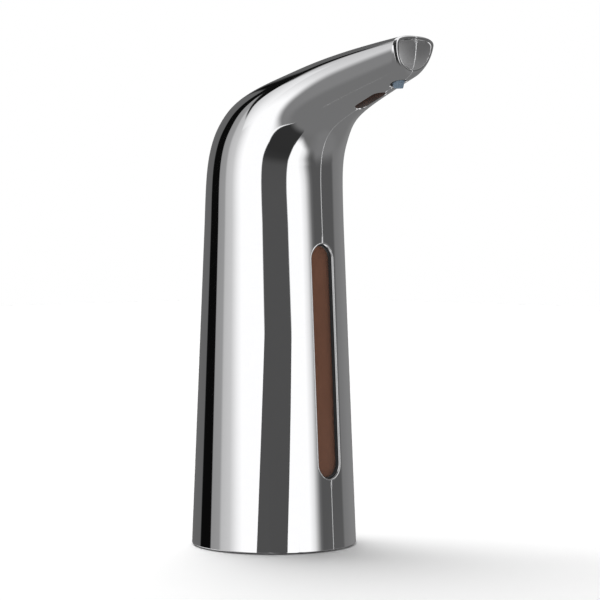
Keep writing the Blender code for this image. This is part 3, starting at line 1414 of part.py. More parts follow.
def build_cells():
    """The batteries, the springs at their flat ends and the contact plates."""
    half = CELL_LENGTH / 2
    profile = (
        (0, -half),
        (CELL_RADIUS - CELL_EDGE, -half),
        (CELL_RADIUS, -half + CELL_EDGE),
        (CELL_RADIUS, half - CELL_NUB - CELL_EDGE),
        (CELL_RADIUS - CELL_EDGE, half - CELL_NUB),
        (CELL_NUB_RADIUS, half - CELL_NUB),
        (CELL_NUB_RADIUS, half),
        (0, half),
    )
    plate_y = BAY_HALF_Y - GAP - CONTACT_THICKNESS
    for index in range(CELLS):
        sign = cell_sign(index)
        shift = plate_y - GAP - half
        cell = piece(f"battery_{index + 1}", turned(profile, CELL_SIDES), CELL_GREY)
        cell.location = (cell_x(index), sign * shift, CELL_Z)
        cell.rotation_euler = (-sign * math.pi / 2, 0, 0)
        free = plate_y + shift - half - 2 * GAP
        coil = piece(f"battery_spring_{index + 1}", spring_mesh(free), STEEL)
        coil.location = (cell_x(index), -sign * (plate_y - GAP), CELL_Z)
        coil.rotation_euler = (-sign * math.pi / 2, 0, 0)
    spans = ((0, 0, -1), (0, 1, 1), (1, 2, -1), (2, 3, 1), (3, 3, -1))
    for number, (first, second, side) in enumerate(spans):
        low_x = cell_x(first) - CONTACT_OVERHANG
        high_x = cell_x(second) + CONTACT_OVERHANG
        near = side * (plate_y + GAP / 2)
        far = near + side * CONTACT_THICKNESS
        half_z = CONTACT_HEIGHT / 2
        plate = box(low_x, high_x, min(near, far), max(near, far), CELL_Z - half_z, CELL_Z + half_z)
        piece(f"contact_plate_{number + 1}", plate, BRASS, smooth=False)


def wire(name, controls, finish, count):
    """A thin lead along a smooth curve through its own hand-placed points."""
    path = [Vector(point) for point in spline(controls, np.linspace(0, 1, count))]
    sizes = [WIRE_RADIUS] * len(path)
    piece(name, sweep(path, sizes, sizes, Vector((1, 0, 0)), WIRE_SIDES), finish)


def board_spot(aside, below):
    """A point this far under the board's rear end, and this far to its left."""
    spot, normal, tangent = BUTTON_FRAME
    behind = BOARD_BEHIND - 2 * WIRE_RADIUS
    under = BOARD_DEPTH + BOARD_THICKNESS + below
    return spot - tangent * behind - normal * under + Vector((0, aside, 0))


def build_wires():
    """The battery leads up the tank's channel and the motor's leads to the board."""
    wall_y = -(BAY_HALF_Y + BAY_WALL + GAP + WIRE_RADIUS)
    depth = WALL + CHANNEL_DEPTH / 2
    low_y = depth - half_width(station_at(TANK_LOW))
    high_y = depth - half_width(station_at(LID_HIGH))
    turn = 4 * WIRE_RADIUS
    for name, sign, finish in (
        ("battery_lead_red", 1, RED),
        ("battery_lead_black", -1, BLACK_RUBBER),
    ):
        x = sign * WIRE_PITCH / 2
        start = sign * (cell_x(CELLS - 1) - CONTACT_OVERHANG)
        aside = -BOARD_HALF_WIDTH + (2 - sign) * WIRE_PITCH
        end = board_spot(aside, 2 * GAP)
        near = board_spot(aside, 2 * turn)
        wire(name, [
            (start, wall_y, CELL_Z),
            (start, wall_y - turn, CELL_Z),
            (start / 2, low_y + turn, CELL_Z),
            (x, low_y, TANK_LOW - turn),
            (x, low_y, TANK_LOW + turn),
            (x, high_y, LID_HIGH - turn),
            (x, high_y, LID_HIGH + turn),
            (x, high_y + turn, MOTOR_TOP),
            (PUMP_X - turn + x, high_y + 3 * turn - x, PUMP_TOP + turn),
            (near.x - turn + x, near.y - 3 * turn, near.z - 3 * turn),
            near,
            end,
        ], finish, BATTERY_LEAD_STEPS)
    gap_y = -(MOTOR_HALF_FLAT + 2 * WIRE_RADIUS + GAP)
    out_y = -(RACE_RADIUS + RACE_WALL + 2 * turn)
    low_z = MOTOR_LOW + MOTOR_LENGTH / 2
    for name, sign, finish in (("motor_lead_red", 1, RED), ("motor_lead_black", -1, BLACK_RUBBER)):
        x = PUMP_X - turn + sign * WIRE_PITCH / 2
        aside = (1 - sign) * WIRE_PITCH
        end = board_spot(aside, 2 * GAP)
        near = board_spot(aside, 2 * turn)
        wire(name, [
            (x, gap_y, low_z - turn),
            (x, gap_y, low_z + turn),
            (x, gap_y - turn, low_z + 2 * turn),
            (x, out_y + turn, PUMP_LOW - turn),
            (x, out_y, PUMP_LOW + turn),
            (x, out_y, PUMP_TOP),
            (x, out_y + turn, PUMP_TOP + 3 * turn),
            (near.x - turn, near.y - 4 * turn, near.z - 4 * turn),
            near,
            end,
        ], finish, MOTOR_LEAD_STEPS)


def main():
    clear_scene()
    make_assembly()
    build_casing()
    build_tank()
    build_motor()
    build_pump()
    build_hose()
    build_electronics()
    build_base()
    build_door()
    build_cells()
    build_wires()


main()
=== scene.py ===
"""Looks of the automatic soap dispenser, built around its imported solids.

The casing, its lid, its button and the face of its spout are plated mirror-smooth, so their
surfaces are worked out from the same lines and sections as the solids, with exact normals.
The other pieces are modelled from primitives, in edit mode and with modifiers. All sizes are
in metres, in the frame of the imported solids.
"""

import json
import logging
import math
from collections.abc import Sequence
from dataclasses import dataclass, field
from enum import Enum

import bpy
import numpy as np
from mathutils import Matrix, Vector

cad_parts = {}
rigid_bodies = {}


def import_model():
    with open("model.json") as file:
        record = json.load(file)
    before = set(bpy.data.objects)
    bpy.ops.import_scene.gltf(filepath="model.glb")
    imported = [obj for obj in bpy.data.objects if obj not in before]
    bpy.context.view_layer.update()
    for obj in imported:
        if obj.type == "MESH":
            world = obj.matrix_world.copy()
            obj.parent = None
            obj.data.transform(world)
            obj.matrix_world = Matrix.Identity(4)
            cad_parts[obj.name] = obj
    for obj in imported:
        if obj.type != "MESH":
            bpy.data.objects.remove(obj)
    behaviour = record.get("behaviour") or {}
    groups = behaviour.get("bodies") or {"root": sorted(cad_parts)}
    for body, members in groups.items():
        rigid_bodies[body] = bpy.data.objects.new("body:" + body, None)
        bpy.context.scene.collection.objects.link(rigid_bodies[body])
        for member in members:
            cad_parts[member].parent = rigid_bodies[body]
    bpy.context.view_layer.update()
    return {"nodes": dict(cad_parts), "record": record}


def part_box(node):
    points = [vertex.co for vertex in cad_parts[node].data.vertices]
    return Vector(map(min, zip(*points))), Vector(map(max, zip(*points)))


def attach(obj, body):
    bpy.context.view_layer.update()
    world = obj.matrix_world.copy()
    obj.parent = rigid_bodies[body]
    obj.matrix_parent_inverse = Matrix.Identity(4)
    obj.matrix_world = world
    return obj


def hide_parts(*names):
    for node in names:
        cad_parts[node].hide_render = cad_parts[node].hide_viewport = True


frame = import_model()
LOG = logging.getLogger("dispenser")
Array = np.ndarray
Piece = bpy.types.Object
Socket = bpy.types.NodeSocket
# The seam's width, the shells' thickness, and the clearance round what is set in them.
SEAM_GAP = 0.0003
WALL = 0.0022
GAP = 0.0003
# The radius that stands for the axis in a turned profile, and the steps round an oblong.
AXIS_RADIUS = 1e-6
OBLONG_SIDES = 96
# The angle in degrees under which a piece's faces shade as one.
SMOOTH = 35.0


def spline_at(controls: Array, shares: Array) -> Array:
    """Reads a clamped cubic spline.

    Args:
        controls: Its control points, one row each.
        shares: Places along it, from 0 to 1.

    Returns:
        A row for each share.
    """
    degree = 3
    spans = len(controls) - degree
    knots = [0] * degree + list(range(spans + 1)) + [spans] * degree
    at = np.minimum(np.asarray(shares, float) * spans, spans * (1 - 1e-9))
    weights = [((at >= low) & (at < high)).astype(float) for low, high in zip(knots, knots[1:])]
    for order in range(1, degree + 1):
        raised = []
        for k in range(len(weights) - 1):
            total = np.zeros(at.shape)
            if knots[k + order] > knots[k]:
                total += (at - knots[k]) / (knots[k + order] - knots[k]) * weights[k]
            if knots[k + order + 1] > knots[k + 1]:
                fall = knots[k + order + 1] - at
                total += fall / (knots[k + order + 1] - knots[k + 1]) * weights[k + 1]
            raised.append(total)
        weights = raised
    return np.stack(weights, axis=-1) @ controls


def unit(vectors: Array) -> Array:
    """Vectors of length one along the last axis."""
    return vectors / np.maximum(np.linalg.norm(vectors, axis=-1, keepdims=True), 1e-12)


def bow(start: Array, corner: Array, end: Array, share: float) -> Array:
    """A point of the arc that cuts a corner."""
    return start * (1 - share) ** 2 + corner * 2 * share * (1 - share) + end * share**2


def quarter_round(start: Array, normal: Array, facing: Array, radius: Array | float,
                  steps: int) -> tuple[list[Array], list[Array]]:
    """A rounded edge from a surface into a wall.

    Args:
        start: Where the surface ends.
        normal: Its normal there.
        facing: The direction that the wall faces.
        radius: The rounding's radius.
        steps: How many steps it has.

    Returns:
        The points of each step, and their normals.
    """
    points, normals = [], []
    for angle in np.arange(1, steps + 1) / steps * np.pi / 2:
        side, up = math.sin(angle), math.cos(angle)
        points.append(start + facing * radius * side - normal * radius * (1 - up))
        normals.append(normal * up + facing * side)
    return points, normals


@dataclass(frozen=True)
class Spot:
    """A place on the casing's middle line, with its outward normal and its tangent."""

    origin: Array
    normal: Array
    tangent: Array

    def local(self, points: Array) -> tuple[Array, Array]:
        """Where points lie along the tangent and along Y."""
        return (points - self.origin) @ self.tangent, points[..., 1]

    def matrix(self, depth: float = 0.0) -> Matrix:
        """Puts Z along the normal and X along the tangent, this far under the surface."""
        side = np.cross(self.normal, self.tangent)
        turn = Matrix(np.stack((self.tangent, side, self.normal), axis=1).tolist()).to_4x4()
        return Matrix.Translation(Vector(self.origin - self.normal * depth)) @ turn


@dataclass
class CasingForm:
    """The casing's outer surface: a station along it, and a turn from its front to its back."""

    base_radius: float = 0.0425
    neck_height: float = 0.165
    neck_front: float = 0.0343
    neck_back: float = 0.0337
    neck_half_width: float = 0.0377
    spout_reach: float = 0.0965
    spout_top: float = 0.2558
    tip_drop: float = 0.0207
    tip_lean: float = 0.0059
    tip_half_width: float = 0.0148
    face_proud: float = 0.0007
    face_low_proud: float = 0.0042
    face_top_drop: float = 0.0009
    face_low_rise: float = 0.0037
    face_half_width: float = 0.0125
    face_rim: float = 0.0007
    foot_gap: float = 0.0008
    front_run_share: float = 0.469
    front_bend_shares: tuple = ((0.055, 0.635), (0.21, 0.739), (0.55, 0.854))
    back_run_share: float = 0.4185
    back_bend_shares: tuple = ((0.138, 0.7225), (0.479, 0.839), (0.704, 0.939))
    width_bend_shares: tuple = (0.01, 0.02, 0.07, 0.447, 0.717)
    section_shift_share: float = 0.55
    section_power: float = 2.6
    round_power: float = 2.0
    section_start_share: float = 0.384
    rim_bulge_share: float = 0.2
    rim_back_share: float = 1 / 15
    line_steps: int = 400
    halvings: int = 34
    front: Array = field(init=False)
    back: Array = field(init=False)
    widths: Array = field(init=False)

    def __post_init__(self) -> None:
        """Works out the control points of the front line, the back line and the width."""
        low_tip = (self.spout_reach - self.tip_lean, self.spout_top - self.tip_drop)
        top_tip = (self.spout_reach, self.spout_top)
        front_sizes = (self.base_radius, self.neck_front, self.front_run_share, self.front_bend_shares)
        back_sizes = (-self.base_radius, -self.neck_back, self.back_run_share, self.back_bend_shares)
        self.front = self.bend(*front_sizes, low_tip)
        self.back = self.bend(*back_sizes, top_tip)
        shares = np.array((0.0, *self.width_bend_shares, 1.0))
        self.widths = self.neck_half_width + (self.tip_half_width - self.neck_half_width) * shares

    @property
    def middle_x(self) -> float:
        """How far the column's axis stands from the middle of the object's box."""
        return (self.base_radius - self.spout_reach - self.face_proud) / 2

    def bend(self, foot_x: float, neck_x: float, run_share: float, shares: tuple, tip: tuple) -> Array:
        """Control points of a casing line from the column's top to the tip.

        Args:
            foot_x: Where the line starts at the foot.
            neck_x: Where it passes the neck.
            run_share: How far it keeps straight past the neck, as a share of the rise.
            shares: The bend's own points, as shares of the way from neck to tip.
            tip: Where it ends.

        Returns:
            Seven control points.
        """
        foot = np.array((foot_x, self.foot_gap))
        neck = np.array((neck_x, self.neck_height))
        end = np.array(tip)
        up = unit(neck - foot)
        run = run_share * (end[1] - self.neck_height)
        turns = [neck + (end - neck) * np.array(share) for share in shares]
        return np.array([neck, neck + up * run / 2, neck + up * run, *turns, end])

    def line(self, controls: Array, foot_x: float, stations: Array) -> Array:
        """Reads a casing line: stations -1 to 0 climb the column, 0 to 1 follow the bend."""
        foot = np.array((foot_x, self.foot_gap))
        column = foot + (controls[0] - foot) * (stations + 1)[..., None]
        return np.where(stations[..., None] < 0, column, spline_at(controls, np.clip(stations, 0, 1)))

    def width(self, stations: Array) -> Array:
        """Half the casing's width at each station."""
        column = self.base_radius + (self.neck_half_width - self.base_radius) * (stations + 1)
        bend = spline_at(self.widths[:, None], np.clip(stations, 0, 1))[..., 0]
        return np.where(stations < 0, column, bend)

    def blend(self, stations: Array) -> Array:
        """How far the section has gone from an ellipse to the spout's form."""
        start = self.section_start_share
        share = np.clip((stations - start) / (1 - start), 0, 1)
        return share * share * (3 - 2 * share)

    def section(self, front: Array, back: Array, width: Array, blend: Array, turns: Array) -> Array:
        """Points of sections from their front over the left side to their back.

        Args:
            front: The front of each section, as (x, z).
            back: The back of each section, as (x, z).
            width: Half the width of each section.
            blend: 0 for an ellipse, 1 for the spout's form.
            turns: Places round each section, from 0 at the front to 1 at the back.

        Returns:
            A point for each section and turn.
        """
        angle = np.pi * (np.clip(turns, 0, 1) - 0.5)
        rise = np.sin(angle)
        across = np.maximum(np.cos(angle), 0)
        shift = self.section_shift_share * blend[:, None]
        power = self.round_power + (self.section_power - self.round_power) * blend[:, None]
        high = np.maximum(rise, 0) ** (2 / power)
        along = np.where(rise < 0, shift + (1 + shift) * rise, shift + (1 - shift) * high)
        across = np.where(rise < 0, across, across ** (2 / power))
        middle = (front + back)[:, None] / 2
        spots = middle + (back - front)[:, None] / 2 * along[..., None]
        return np.stack((spots[..., 0] + self.middle_x, across * width[:, None], spots[..., 1]), axis=-1)

    def points(self, stations: Array, turns: Array) -> Array:
        """Points of the left half, a row for each station."""
        stations = np.asarray(stations, float)
        front = self.line(self.front, self.base_radius, stations)
        back = self.line(self.back, -self.base_radius, stations)
        return self.section(front, back, self.width(stations), self.blend(stations), turns)

    def normals(self, stations: Array, turns: Array) -> Array:
        """Outward normals at the same places as points gives."""
        step = 4e-4
        above = self.points(np.minimum(stations + step, 1), turns)
        below = self.points(np.maximum(stations - step, -1), turns)
        ahead = self.points(stations, np.minimum(turns + step, 1))
        behind = self.points(stations, np.maximum(turns - step, 0))
        return unit(np.cross(ahead - behind, above - below))

    def face(self, turns: Array, rim: float = 0.0, set_back: float = 0.0) -> Array:
        """The spout's end face, this far inside its outline and behind its plane."""
        low, top, up = self.face_line()
        out = np.array((up[1], -up[0]))
        ends = (low + up * rim - out * set_back, top - up * rim - out * set_back)
        width = np.array([self.face_half_width - rim])
        return self.section(ends[0][None], ends[1][None], width, np.ones(1), turns[None])[0]

    def face_line(self) -> tuple[Array, Array, Array]:
        """The end face's lowest point, its highest point and the way up, as (x, z)."""
        low = self.front[-1] + (self.face_low_proud, self.face_low_rise)
        top = self.back[-1] + (self.face_proud, -self.face_top_drop)
        return low, top, unit(top - low)

    def face_normal(self) -> Array:
        """The direction the end face looks in."""
        up = self.face_line()[2]
        return np.array((up[1], 0, -up[0]))

    def turn_at(self, stations: Array, offset: float, back: bool) -> Array:
        """The turn at which each section is this far from the middle plane."""
        power = self.round_power + (self.section_power - self.round_power) * self.blend(stations)
        share = np.clip(offset / self.width(stations), 0, 1)
        if back:
            return 0.5 + np.arccos(share ** (power / 2)) / np.pi
        return 0.5 - np.arccos(share) / np.pi

    def spot(self, controls: Array, x: float, outward: int) -> Spot:
        """The place where a casing line passes this X of the column's own frame."""
        line = spline_at(controls, np.linspace(0, 1, self.line_steps + 1))
        after = self.line_steps
        while line[after - 1][0] > x:
            after -= 1
        low, high = line[after - 1], line[after]
        place = low + (high - low) * (x - low[0]) / (high[0] - low[0])
        return self.line_spot(place, unit(high - low), outward)

    def column_spot(self, height: float) -> Spot:
        """The front of the column at this height."""
        foot = np.array((self.base_radius, self.foot_gap))
        run = unit(self.front[0] - foot)
        return self.line_spot(foot + run * (height - foot[1]) / run[1], run, -1)

    def line_spot(self, place: Array, run: Array, outward: int) -> Spot:
        """A spot from a line's point and its run, both as (x, z)."""
        origin = np.array((place[0] + self.middle_x, 0, place[1]))
        return Spot(origin, np.array((-run[1], 0, run[0])) * outward, np.array((run[0], 0, run[1])))

    def over(self, spot: Spot, along: Array, aside: Array) -> tuple[Array, Array]:
        """The upper surface over flat places round a spot of the back line.

        Args:
            spot: The place on the back line.
            along: Distances along its tangent.
            aside: Distances along Y.

        Returns:
            The points and their normals.
        """
        low = np.zeros(along.shape)
        high = np.ones(along.shape)
        offsets = np.abs(aside)
        for _ in range(self.halvings):
            middle = (low + high) / 2
            turns = self.turn_at(middle, offsets, True)
            reach = spot.local(self.points(middle, turns[:, None])[:, 0])[0]
            low = np.where(reach < along, middle, low)
            high = np.where(reach < along, high, middle)
        turns = self.turn_at(low, offsets, True)[:, None]
        points = self.points(low, turns)[:, 0]
        normals = self.normals(low, turns)[:, 0]
        sign = np.where(aside < 0, -1.0, 1.0)
        points[:, 1] *= sign
        normals[:, 1] *= sign
        return points, normals


FORM = CasingForm()


@dataclass(frozen=True)
class Opening:
    """A hole in the casing on its middle plane: an oblong, a circle or a rounded notch."""

    spot: Spot
    half_length: float
    half_width: float
    power: float = 0.0
    edge: float = 0.0003

    def distance(self, points: Array) -> Array:
        """How far points are outside the outline; inside it is negative."""
        along, aside = self.spot.local(points)
        if self.power:
            shares = (np.abs(along) / self.half_length) ** self.power
            shares = shares + (np.abs(aside) / self.half_width) ** self.power
            return (shares ** (1 / self.power) - 1) * self.half_length
        reach = np.maximum(np.abs(along) - (self.half_length - self.half_width), 0)
        return np.hypot(reach, aside) - self.half_width


@dataclass(frozen=True)
class Layout:
    """Where the casing's openings and the pieces in them are."""

    slot_low: float = 0.036
    slot_high: float = 0.1555
    slot_width: float = 0.0165
    sensor_back: float = 0.0291
    sensor_length: float = 0.0195
    sensor_width: float = 0.0085
    nozzle_back: float = 0.0108
    nozzle_hole: float = 0.0043
    nozzle_drop: float = 0.0248
    button_x: float = 0.030
    button_radius: float = 0.0057
    slot_edge: float = 0.0004
    light_ahead: float = 0.013
    light_radius: float = 0.001
    light_edge: float = 0.0002
    fill_x: float = -0.018
    lid_hole: float = 0.0145
    lid_gap: float = 0.0004
    hinge_out: float = 0.0162
    hinge_depth: float = 0.0017
    notch_half: float = 0.0066
    notch_reach: float = 0.0032
    notch_power: float = 3.0
    pin_radius: float = 0.0008
    pin_clearance: float = 0.0001
    hinge_steps: int = 200

    @property
    def window(self) -> Spot:
        """The middle of the level window's slot."""
        return FORM.column_spot((self.slot_low + self.slot_high) / 2)

    @property
    def slot_length(self) -> float:
        """The slot's length along the column's front."""
        return (self.slot_high - self.slot_low) / abs(self.window.tangent[2])

    @property
    def sensor(self) -> Spot:
        """The middle of the sensor window."""
        return FORM.spot(FORM.front, FORM.spout_reach - self.sensor_back, -1)

    @property
    def button(self) -> Spot:
        """The middle of the power button."""
        return FORM.spot(FORM.back, self.button_x, 1)

    @property
    def lid(self) -> Spot:
        """The middle of the fill lid."""
        return FORM.spot(FORM.back, self.fill_x, 1)

    @property
    def hinge(self) -> Spot:
        """The back line over the lid's pin."""
        lid = self.lid.origin
        x = self.fill_x
        spot = self.lid
        while np.linalg.norm(spot.origin - lid) < self.hinge_out:
            x -= self.hinge_out / self.hinge_steps
            spot = FORM.spot(FORM.back, x, 1)
        return spot

    @property
    def nozzle_tip(self) -> Array:
        """The middle of the nozzle's lower end."""
        x = FORM.spout_reach - self.nozzle_back + FORM.middle_x
        return np.array((x, 0, FORM.spout_top - self.nozzle_drop))

    @property
    def light(self) -> Spot:
        """The middle of the indicator light."""
        button = self.button
        return Spot(button.origin + button.tangent * self.light_ahead, button.normal, button.tangent)

    def front_openings(self) -> list[Opening]:
        """The slot, the sensor window's hole and the nozzle's hole."""
        down = Spot(self.nozzle_tip, np.array((0, 0, -1.0)), np.array((1.0, 0, 0)))
        return [
            Opening(self.window, self.slot_length / 2, self.slot_width / 2, edge=self.slot_edge),
            Opening(self.sensor, self.sensor_length / 2, self.sensor_width / 2),
            Opening(down, self.nozzle_hole, self.nozzle_hole),
        ]

    def back_openings(self) -> list[Opening]:
        """The fill lid's hole with its hinge notch, the button's hole and the light's hole."""
        clear = self.button_radius + GAP
        eye = self.light_radius + GAP
        return [
            Opening(self.lid, self.lid_hole, self.lid_hole),
            Opening(self.hinge, self.notch_reach, self.notch_half, power=self.notch_power),
            Opening(self.button, clear, clear),
            Opening(self.light, eye, eye, edge=self.light_edge),
        ]


LAYOUT = Layout()


def grid_faces(rows: int, columns: int, closed: bool = False) -> Array:
    """The faces between the rows of a grid of corners, round to its first column if it is closed."""
    corners = np.arange(rows * columns).reshape(rows, columns)
    after = np.roll(corners, -1, axis=1)
    faces = np.stack((corners[:-1], after[:-1], after[1:], corners[1:]), axis=-1)
    return (faces if closed else faces[:, :-1]).reshape(-1, 4)


def new_mesh(name: str, points: Array, faces: Sequence, normals: Array | None = None) -> Piece:
    """A mesh object with its faces pointing outwards.

    Args:
        name: The piece's name.
        points: One row for each corner.
        faces: Rows of corner numbers.
        normals: The shading normal of each corner, if it isn't left to the faces.

    Returns:
        The new object, at the origin.
    """
    mesh = bpy.data.meshes.new(name)
    mesh.from_pydata(points.tolist(), [], [tuple(map(int, face)) for face in faces])
    mesh.update()
    mesh.calc_loop_triangles()
    triangles = points[[triangle.vertices for triangle in mesh.loop_triangles]]
    across = np.cross(triangles[:, 1], triangles[:, 2])
    if (triangles[:, 0] * across).sum() < 0:
        mesh.flip_normals()
    for face in mesh.polygons:
        face.use_smooth = True
    if normals is not None:
        mesh.normals_split_custom_set_from_vertices(unit(normals).tolist())
    obj = bpy.data.objects.new(name, mesh)
    bpy.context.collection.objects.link(obj)
    return obj


class Side(Enum):
    """Which half of the casing a shell is."""

    LEFT = 1
    RIGHT = -1


@dataclass(frozen=True)
class Edge:
    """A shell's front or back edge: for each row its direction, rounding, start and seam."""

    facing: Array
    rounding: Array
    start: Array
    turn: Array
    normal: Array
    seam: Array

    def grown(self, below: int, beyond: int) -> "Edge":
        """The edge with more rows under its foot and beyond its tip, where it faces the middle."""
        values = {name: np.pad(value, [(below, beyond)] + [(0, 0)] * (value.ndim - 1), mode="edge")
                  for name, value in vars(self).items()}
        values["facing"][-beyond:] = (0, -1, 0)
        return Edge(**values)


@dataclass
class Shell:
    """One plated half of the casing, with rounded edges at its seam, foot and openings."""

    side: Side
    columns: int = 72
    column_rows: int = 34
    bend_rows: int = 120
    end_rows: int = 10
    opening_tries: int = 12001
    opening_room: float = 0.0045
    least_step: float = 2e-5
    halvings: int = 40
    search_turns: tuple[float, float] = (0.44, 0.56)
    slope_step: float = 1e-5
    turn_step: float = 1e-3
    least_speed: float = 1e-3
    seam_edge: float = 0.00016
    foot_edge: float = 0.0004
    edge_steps: int = 3
    lip_reach: float = 0.00026
    lip_high: float = 0.0004
    lip_low: float = 0.0016
    tip_share: float = 0.945
    tip_bevel: tuple[float, ...] = (0.03, 0.12, 0.25, 0.4, 0.55, 0.7, 0.85, 0.96)
    crease_share: float = 1 / 7

    def opening_rows(self, opening: Opening, back: bool) -> tuple[float, float, Array]:
        """The stations that follow an opening's outline.

        Args:
            opening: The opening.
            back: Whether it is on the back line.

        Returns:
            Its first and last station, and the stations between them, close at its ends.
        """
        tries = np.linspace(-1, 1, self.opening_tries)
        turns = FORM.turn_at(tries, SEAM_GAP / 2, back)[:, None]
        points = FORM.points(tries, turns)[:, 0]
        inside = np.flatnonzero(opening.distance(points) < 0)
        first, last = tries[inside[0]], tries[inside[-1]]
        length = np.linalg.norm(np.diff(points[inside[0]:inside[-1] + 1], axis=0), axis=1).sum()
        reach = min(opening.half_width, opening.half_length) * (last - first) / length
        bows = reach * (1 - np.cos(np.linspace(0, np.pi / 2, self.end_rows)))
        return first, last, np.concatenate((first + bows, last - bows))

    def stations(self) -> Array:
        """Every row of the shell, from the foot to the tip."""
        bend = np.linspace(0, 1, self.bend_rows)
        rows = np.concatenate((np.linspace(-1, 0, self.column_rows), bend[1:]))
        extra = []
        for openings, back in ((LAYOUT.front_openings(), False), (LAYOUT.back_openings(), True)):
            for opening in openings:
                first, last, stations = self.opening_rows(opening, back)
                away = np.minimum(np.abs(rows - first), np.abs(rows - last)) > self.opening_room
                rows = rows[away | (np.abs(rows) == 1)]
                extra.append(stations)
        rows = np.unique(np.concatenate((rows, *extra)))
        return rows[np.concatenate(([True], np.diff(rows) > self.least_step))]

    def edge(self, stations: Array, openings: list[Opening], back: bool) -> Edge:
        """Where the shell's front or back edge runs.

        Args:
            stations: The rows.
            openings: The openings on that side.
            back: Whether it is the back edge.

        Returns:
            The edge, which follows the openings and between them the seam.
        """

        def outside(spots: Array) -> Array:
            return np.array([opening.distance(spots) for opening in openings])

        def place(turns: Array) -> Array:
            return FORM.points(stations, turns[:, None])[:, 0]

        seam = FORM.turn_at(stations, SEAM_GAP / 2, back)
        near, far = seam.copy(), np.full(stations.shape, self.search_turns[back])
        opened = outside(place(seam)).min(axis=0) < 0
        for _ in range(self.halvings):
            middle = (near + far) / 2
            inside = outside(place(middle)).min(axis=0) < 0
            near, far = np.where(inside, middle, near), np.where(inside, far, middle)
        turns = np.where(opened, near, seam)
        spots = place(turns)
        normals = FORM.normals(stations, turns[:, None])[:, 0]
        slopes = [outside(spots - shift).min(axis=0) - outside(spots + shift).min(axis=0)
                  for shift in np.eye(3) * self.slope_step]
        facing = np.where(opened[:, None], np.stack(slopes, axis=1), np.array((0, -1.0, 0)))
        facing = unit(facing - normals * (facing * normals).sum(axis=1, keepdims=True))
        rounding = np.array([opening.edge for opening in openings])[outside(spots).argmin(axis=0)]
        rounding = np.where(opened, rounding, self.seam_edge)
        step = self.turn_step
        speed = np.linalg.norm(place(turns + step) - place(turns - step), axis=1) / (2 * step)
        shifted = turns + rounding / np.maximum(speed, self.least_speed) * (-1 if back else 1)
        start_normals = FORM.normals(stations, shifted[:, None])[:, 0]
        return Edge(facing, rounding, spots - facing * rounding[:, None], shifted, start_normals, ~opened)

    def profile(self, start: Array, normal: Array, edge: Edge, inner: Array) -> tuple[Array, Array]:
        """The rounded edge between the outer and the inner surface, for every row.

        Args:
            start: Where the outer surface ends.
            normal: Its normal there.
            edge: The edge's directions and roundings.
            inner: Where the inner surface ends.

        Returns:
            The points, row by row, and their normals.
        """
        lip = np.where(edge.seam, self.lip_reach if self.side is Side.LEFT else 0.0, 0.0)
        radius = edge.rounding[:, None]
        points, normals = quarter_round(start, normal, edge.facing, radius, self.edge_steps)
        bottom = points[-1]
        steps = ((self.lip_high, 0), (self.lip_high, 1), (self.lip_low, 1), (self.lip_low, 0))
        for k, (depth, out) in enumerate(steps):
            even = self.lip_high + (self.lip_low - self.lip_high) * k / 3
            depth = np.where(lip > 0, depth, even)[:, None] / WALL
            points.append(bottom + (inner - bottom) * depth + edge.facing * lip[:, None] * out)
            normals.append(edge.facing)
        return np.stack(points, axis=1), np.stack(normals, axis=1)

    def build(self) -> Piece:
        """Makes the half shell and lets it stand for its solid."""
        stations = self.stations()
        edges = {0: self.edge(stations, LAYOUT.front_openings(), False),
                 -1: self.edge(stations, LAYOUT.back_openings(), True)}
        shares = np.linspace(0, 1, self.columns + 1)
        turns = edges[0].turn[:, None] + (edges[-1].turn - edges[0].turn)[:, None] * shares
        outer, normals = FORM.points(stations, turns), FORM.normals(stations, turns)
        for index, edge in edges.items():
            outer[:, index], normals[:, index] = edge.start, edge.normal
        inner = outer - normals * WALL
        for index, edge in edges.items():
            inner[:, index] += edge.facing * edge.rounding[:, None]
        rows = len(outer)
        outer, normals, inner = self.foot_rows(outer, normals, inner)
        outer, normals, inner = self.tip_rows(turns[-1], outer, normals, inner)
        added = (self.edge_steps, len(outer) - rows - self.edge_steps)
        edges = {index: edge.grown(*added) for index, edge in edges.items()}
        (back, back_normals), (front, front_normals) = (
            self.profile(outer[:, index], normals[:, index], edges[index], inner[:, index])
            for index in (-1, 0))
        loop = np.concatenate((outer, back, inner[:, ::-1], front[:, ::-1]), axis=1)
        loop_normals = (normals, back_normals, -normals[:, ::-1], front_normals[:, ::-1])
        loop_normals = np.concatenate(loop_normals, axis=1)
        loop[..., 1] = np.maximum(loop[..., 1], -self.lip_reach)
        loop[..., 1] *= self.side.value
        loop_normals[..., 1] *= self.side.value
        obj = self.skin(f"{self.side.name.lower()}_half_shell", loop, loop_normals)
        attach(obj, "casing")
        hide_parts(f"{self.side.name.lower()}_shell")
        LOG.info("%s: %d rows, %d faces", obj.name, len(loop), len(obj.data.polygons))
        return obj

    def foot_rows(self, outer: Array, normals: Array, inner: Array) -> tuple[Array, Array, Array]:
        """Adds the rounded lower edge as rows under the first one."""
        radius = self.foot_edge
        rise = outer[1] - outer[0]
        rise = rise / np.maximum(rise[:, 2:], 1e-9)
        start, down = outer[0] + rise * radius, np.array((0, 0, -1.0))
        rows = quarter_round(start, normals[0], -rise, radius, self.edge_steps)[0]
        row_normals = quarter_round(start, normals[0], down, radius, self.edge_steps)[1]
        inner_rows = [inner[0] + rise * radius * share for share in (0, 0.25, 0.5, 1)]
        outer = np.concatenate((rows[::-1], start[None], outer[1:]))
        normals = np.concatenate((row_normals[::-1], normals))
        return outer, normals, np.concatenate((inner_rows, inner[1:]))

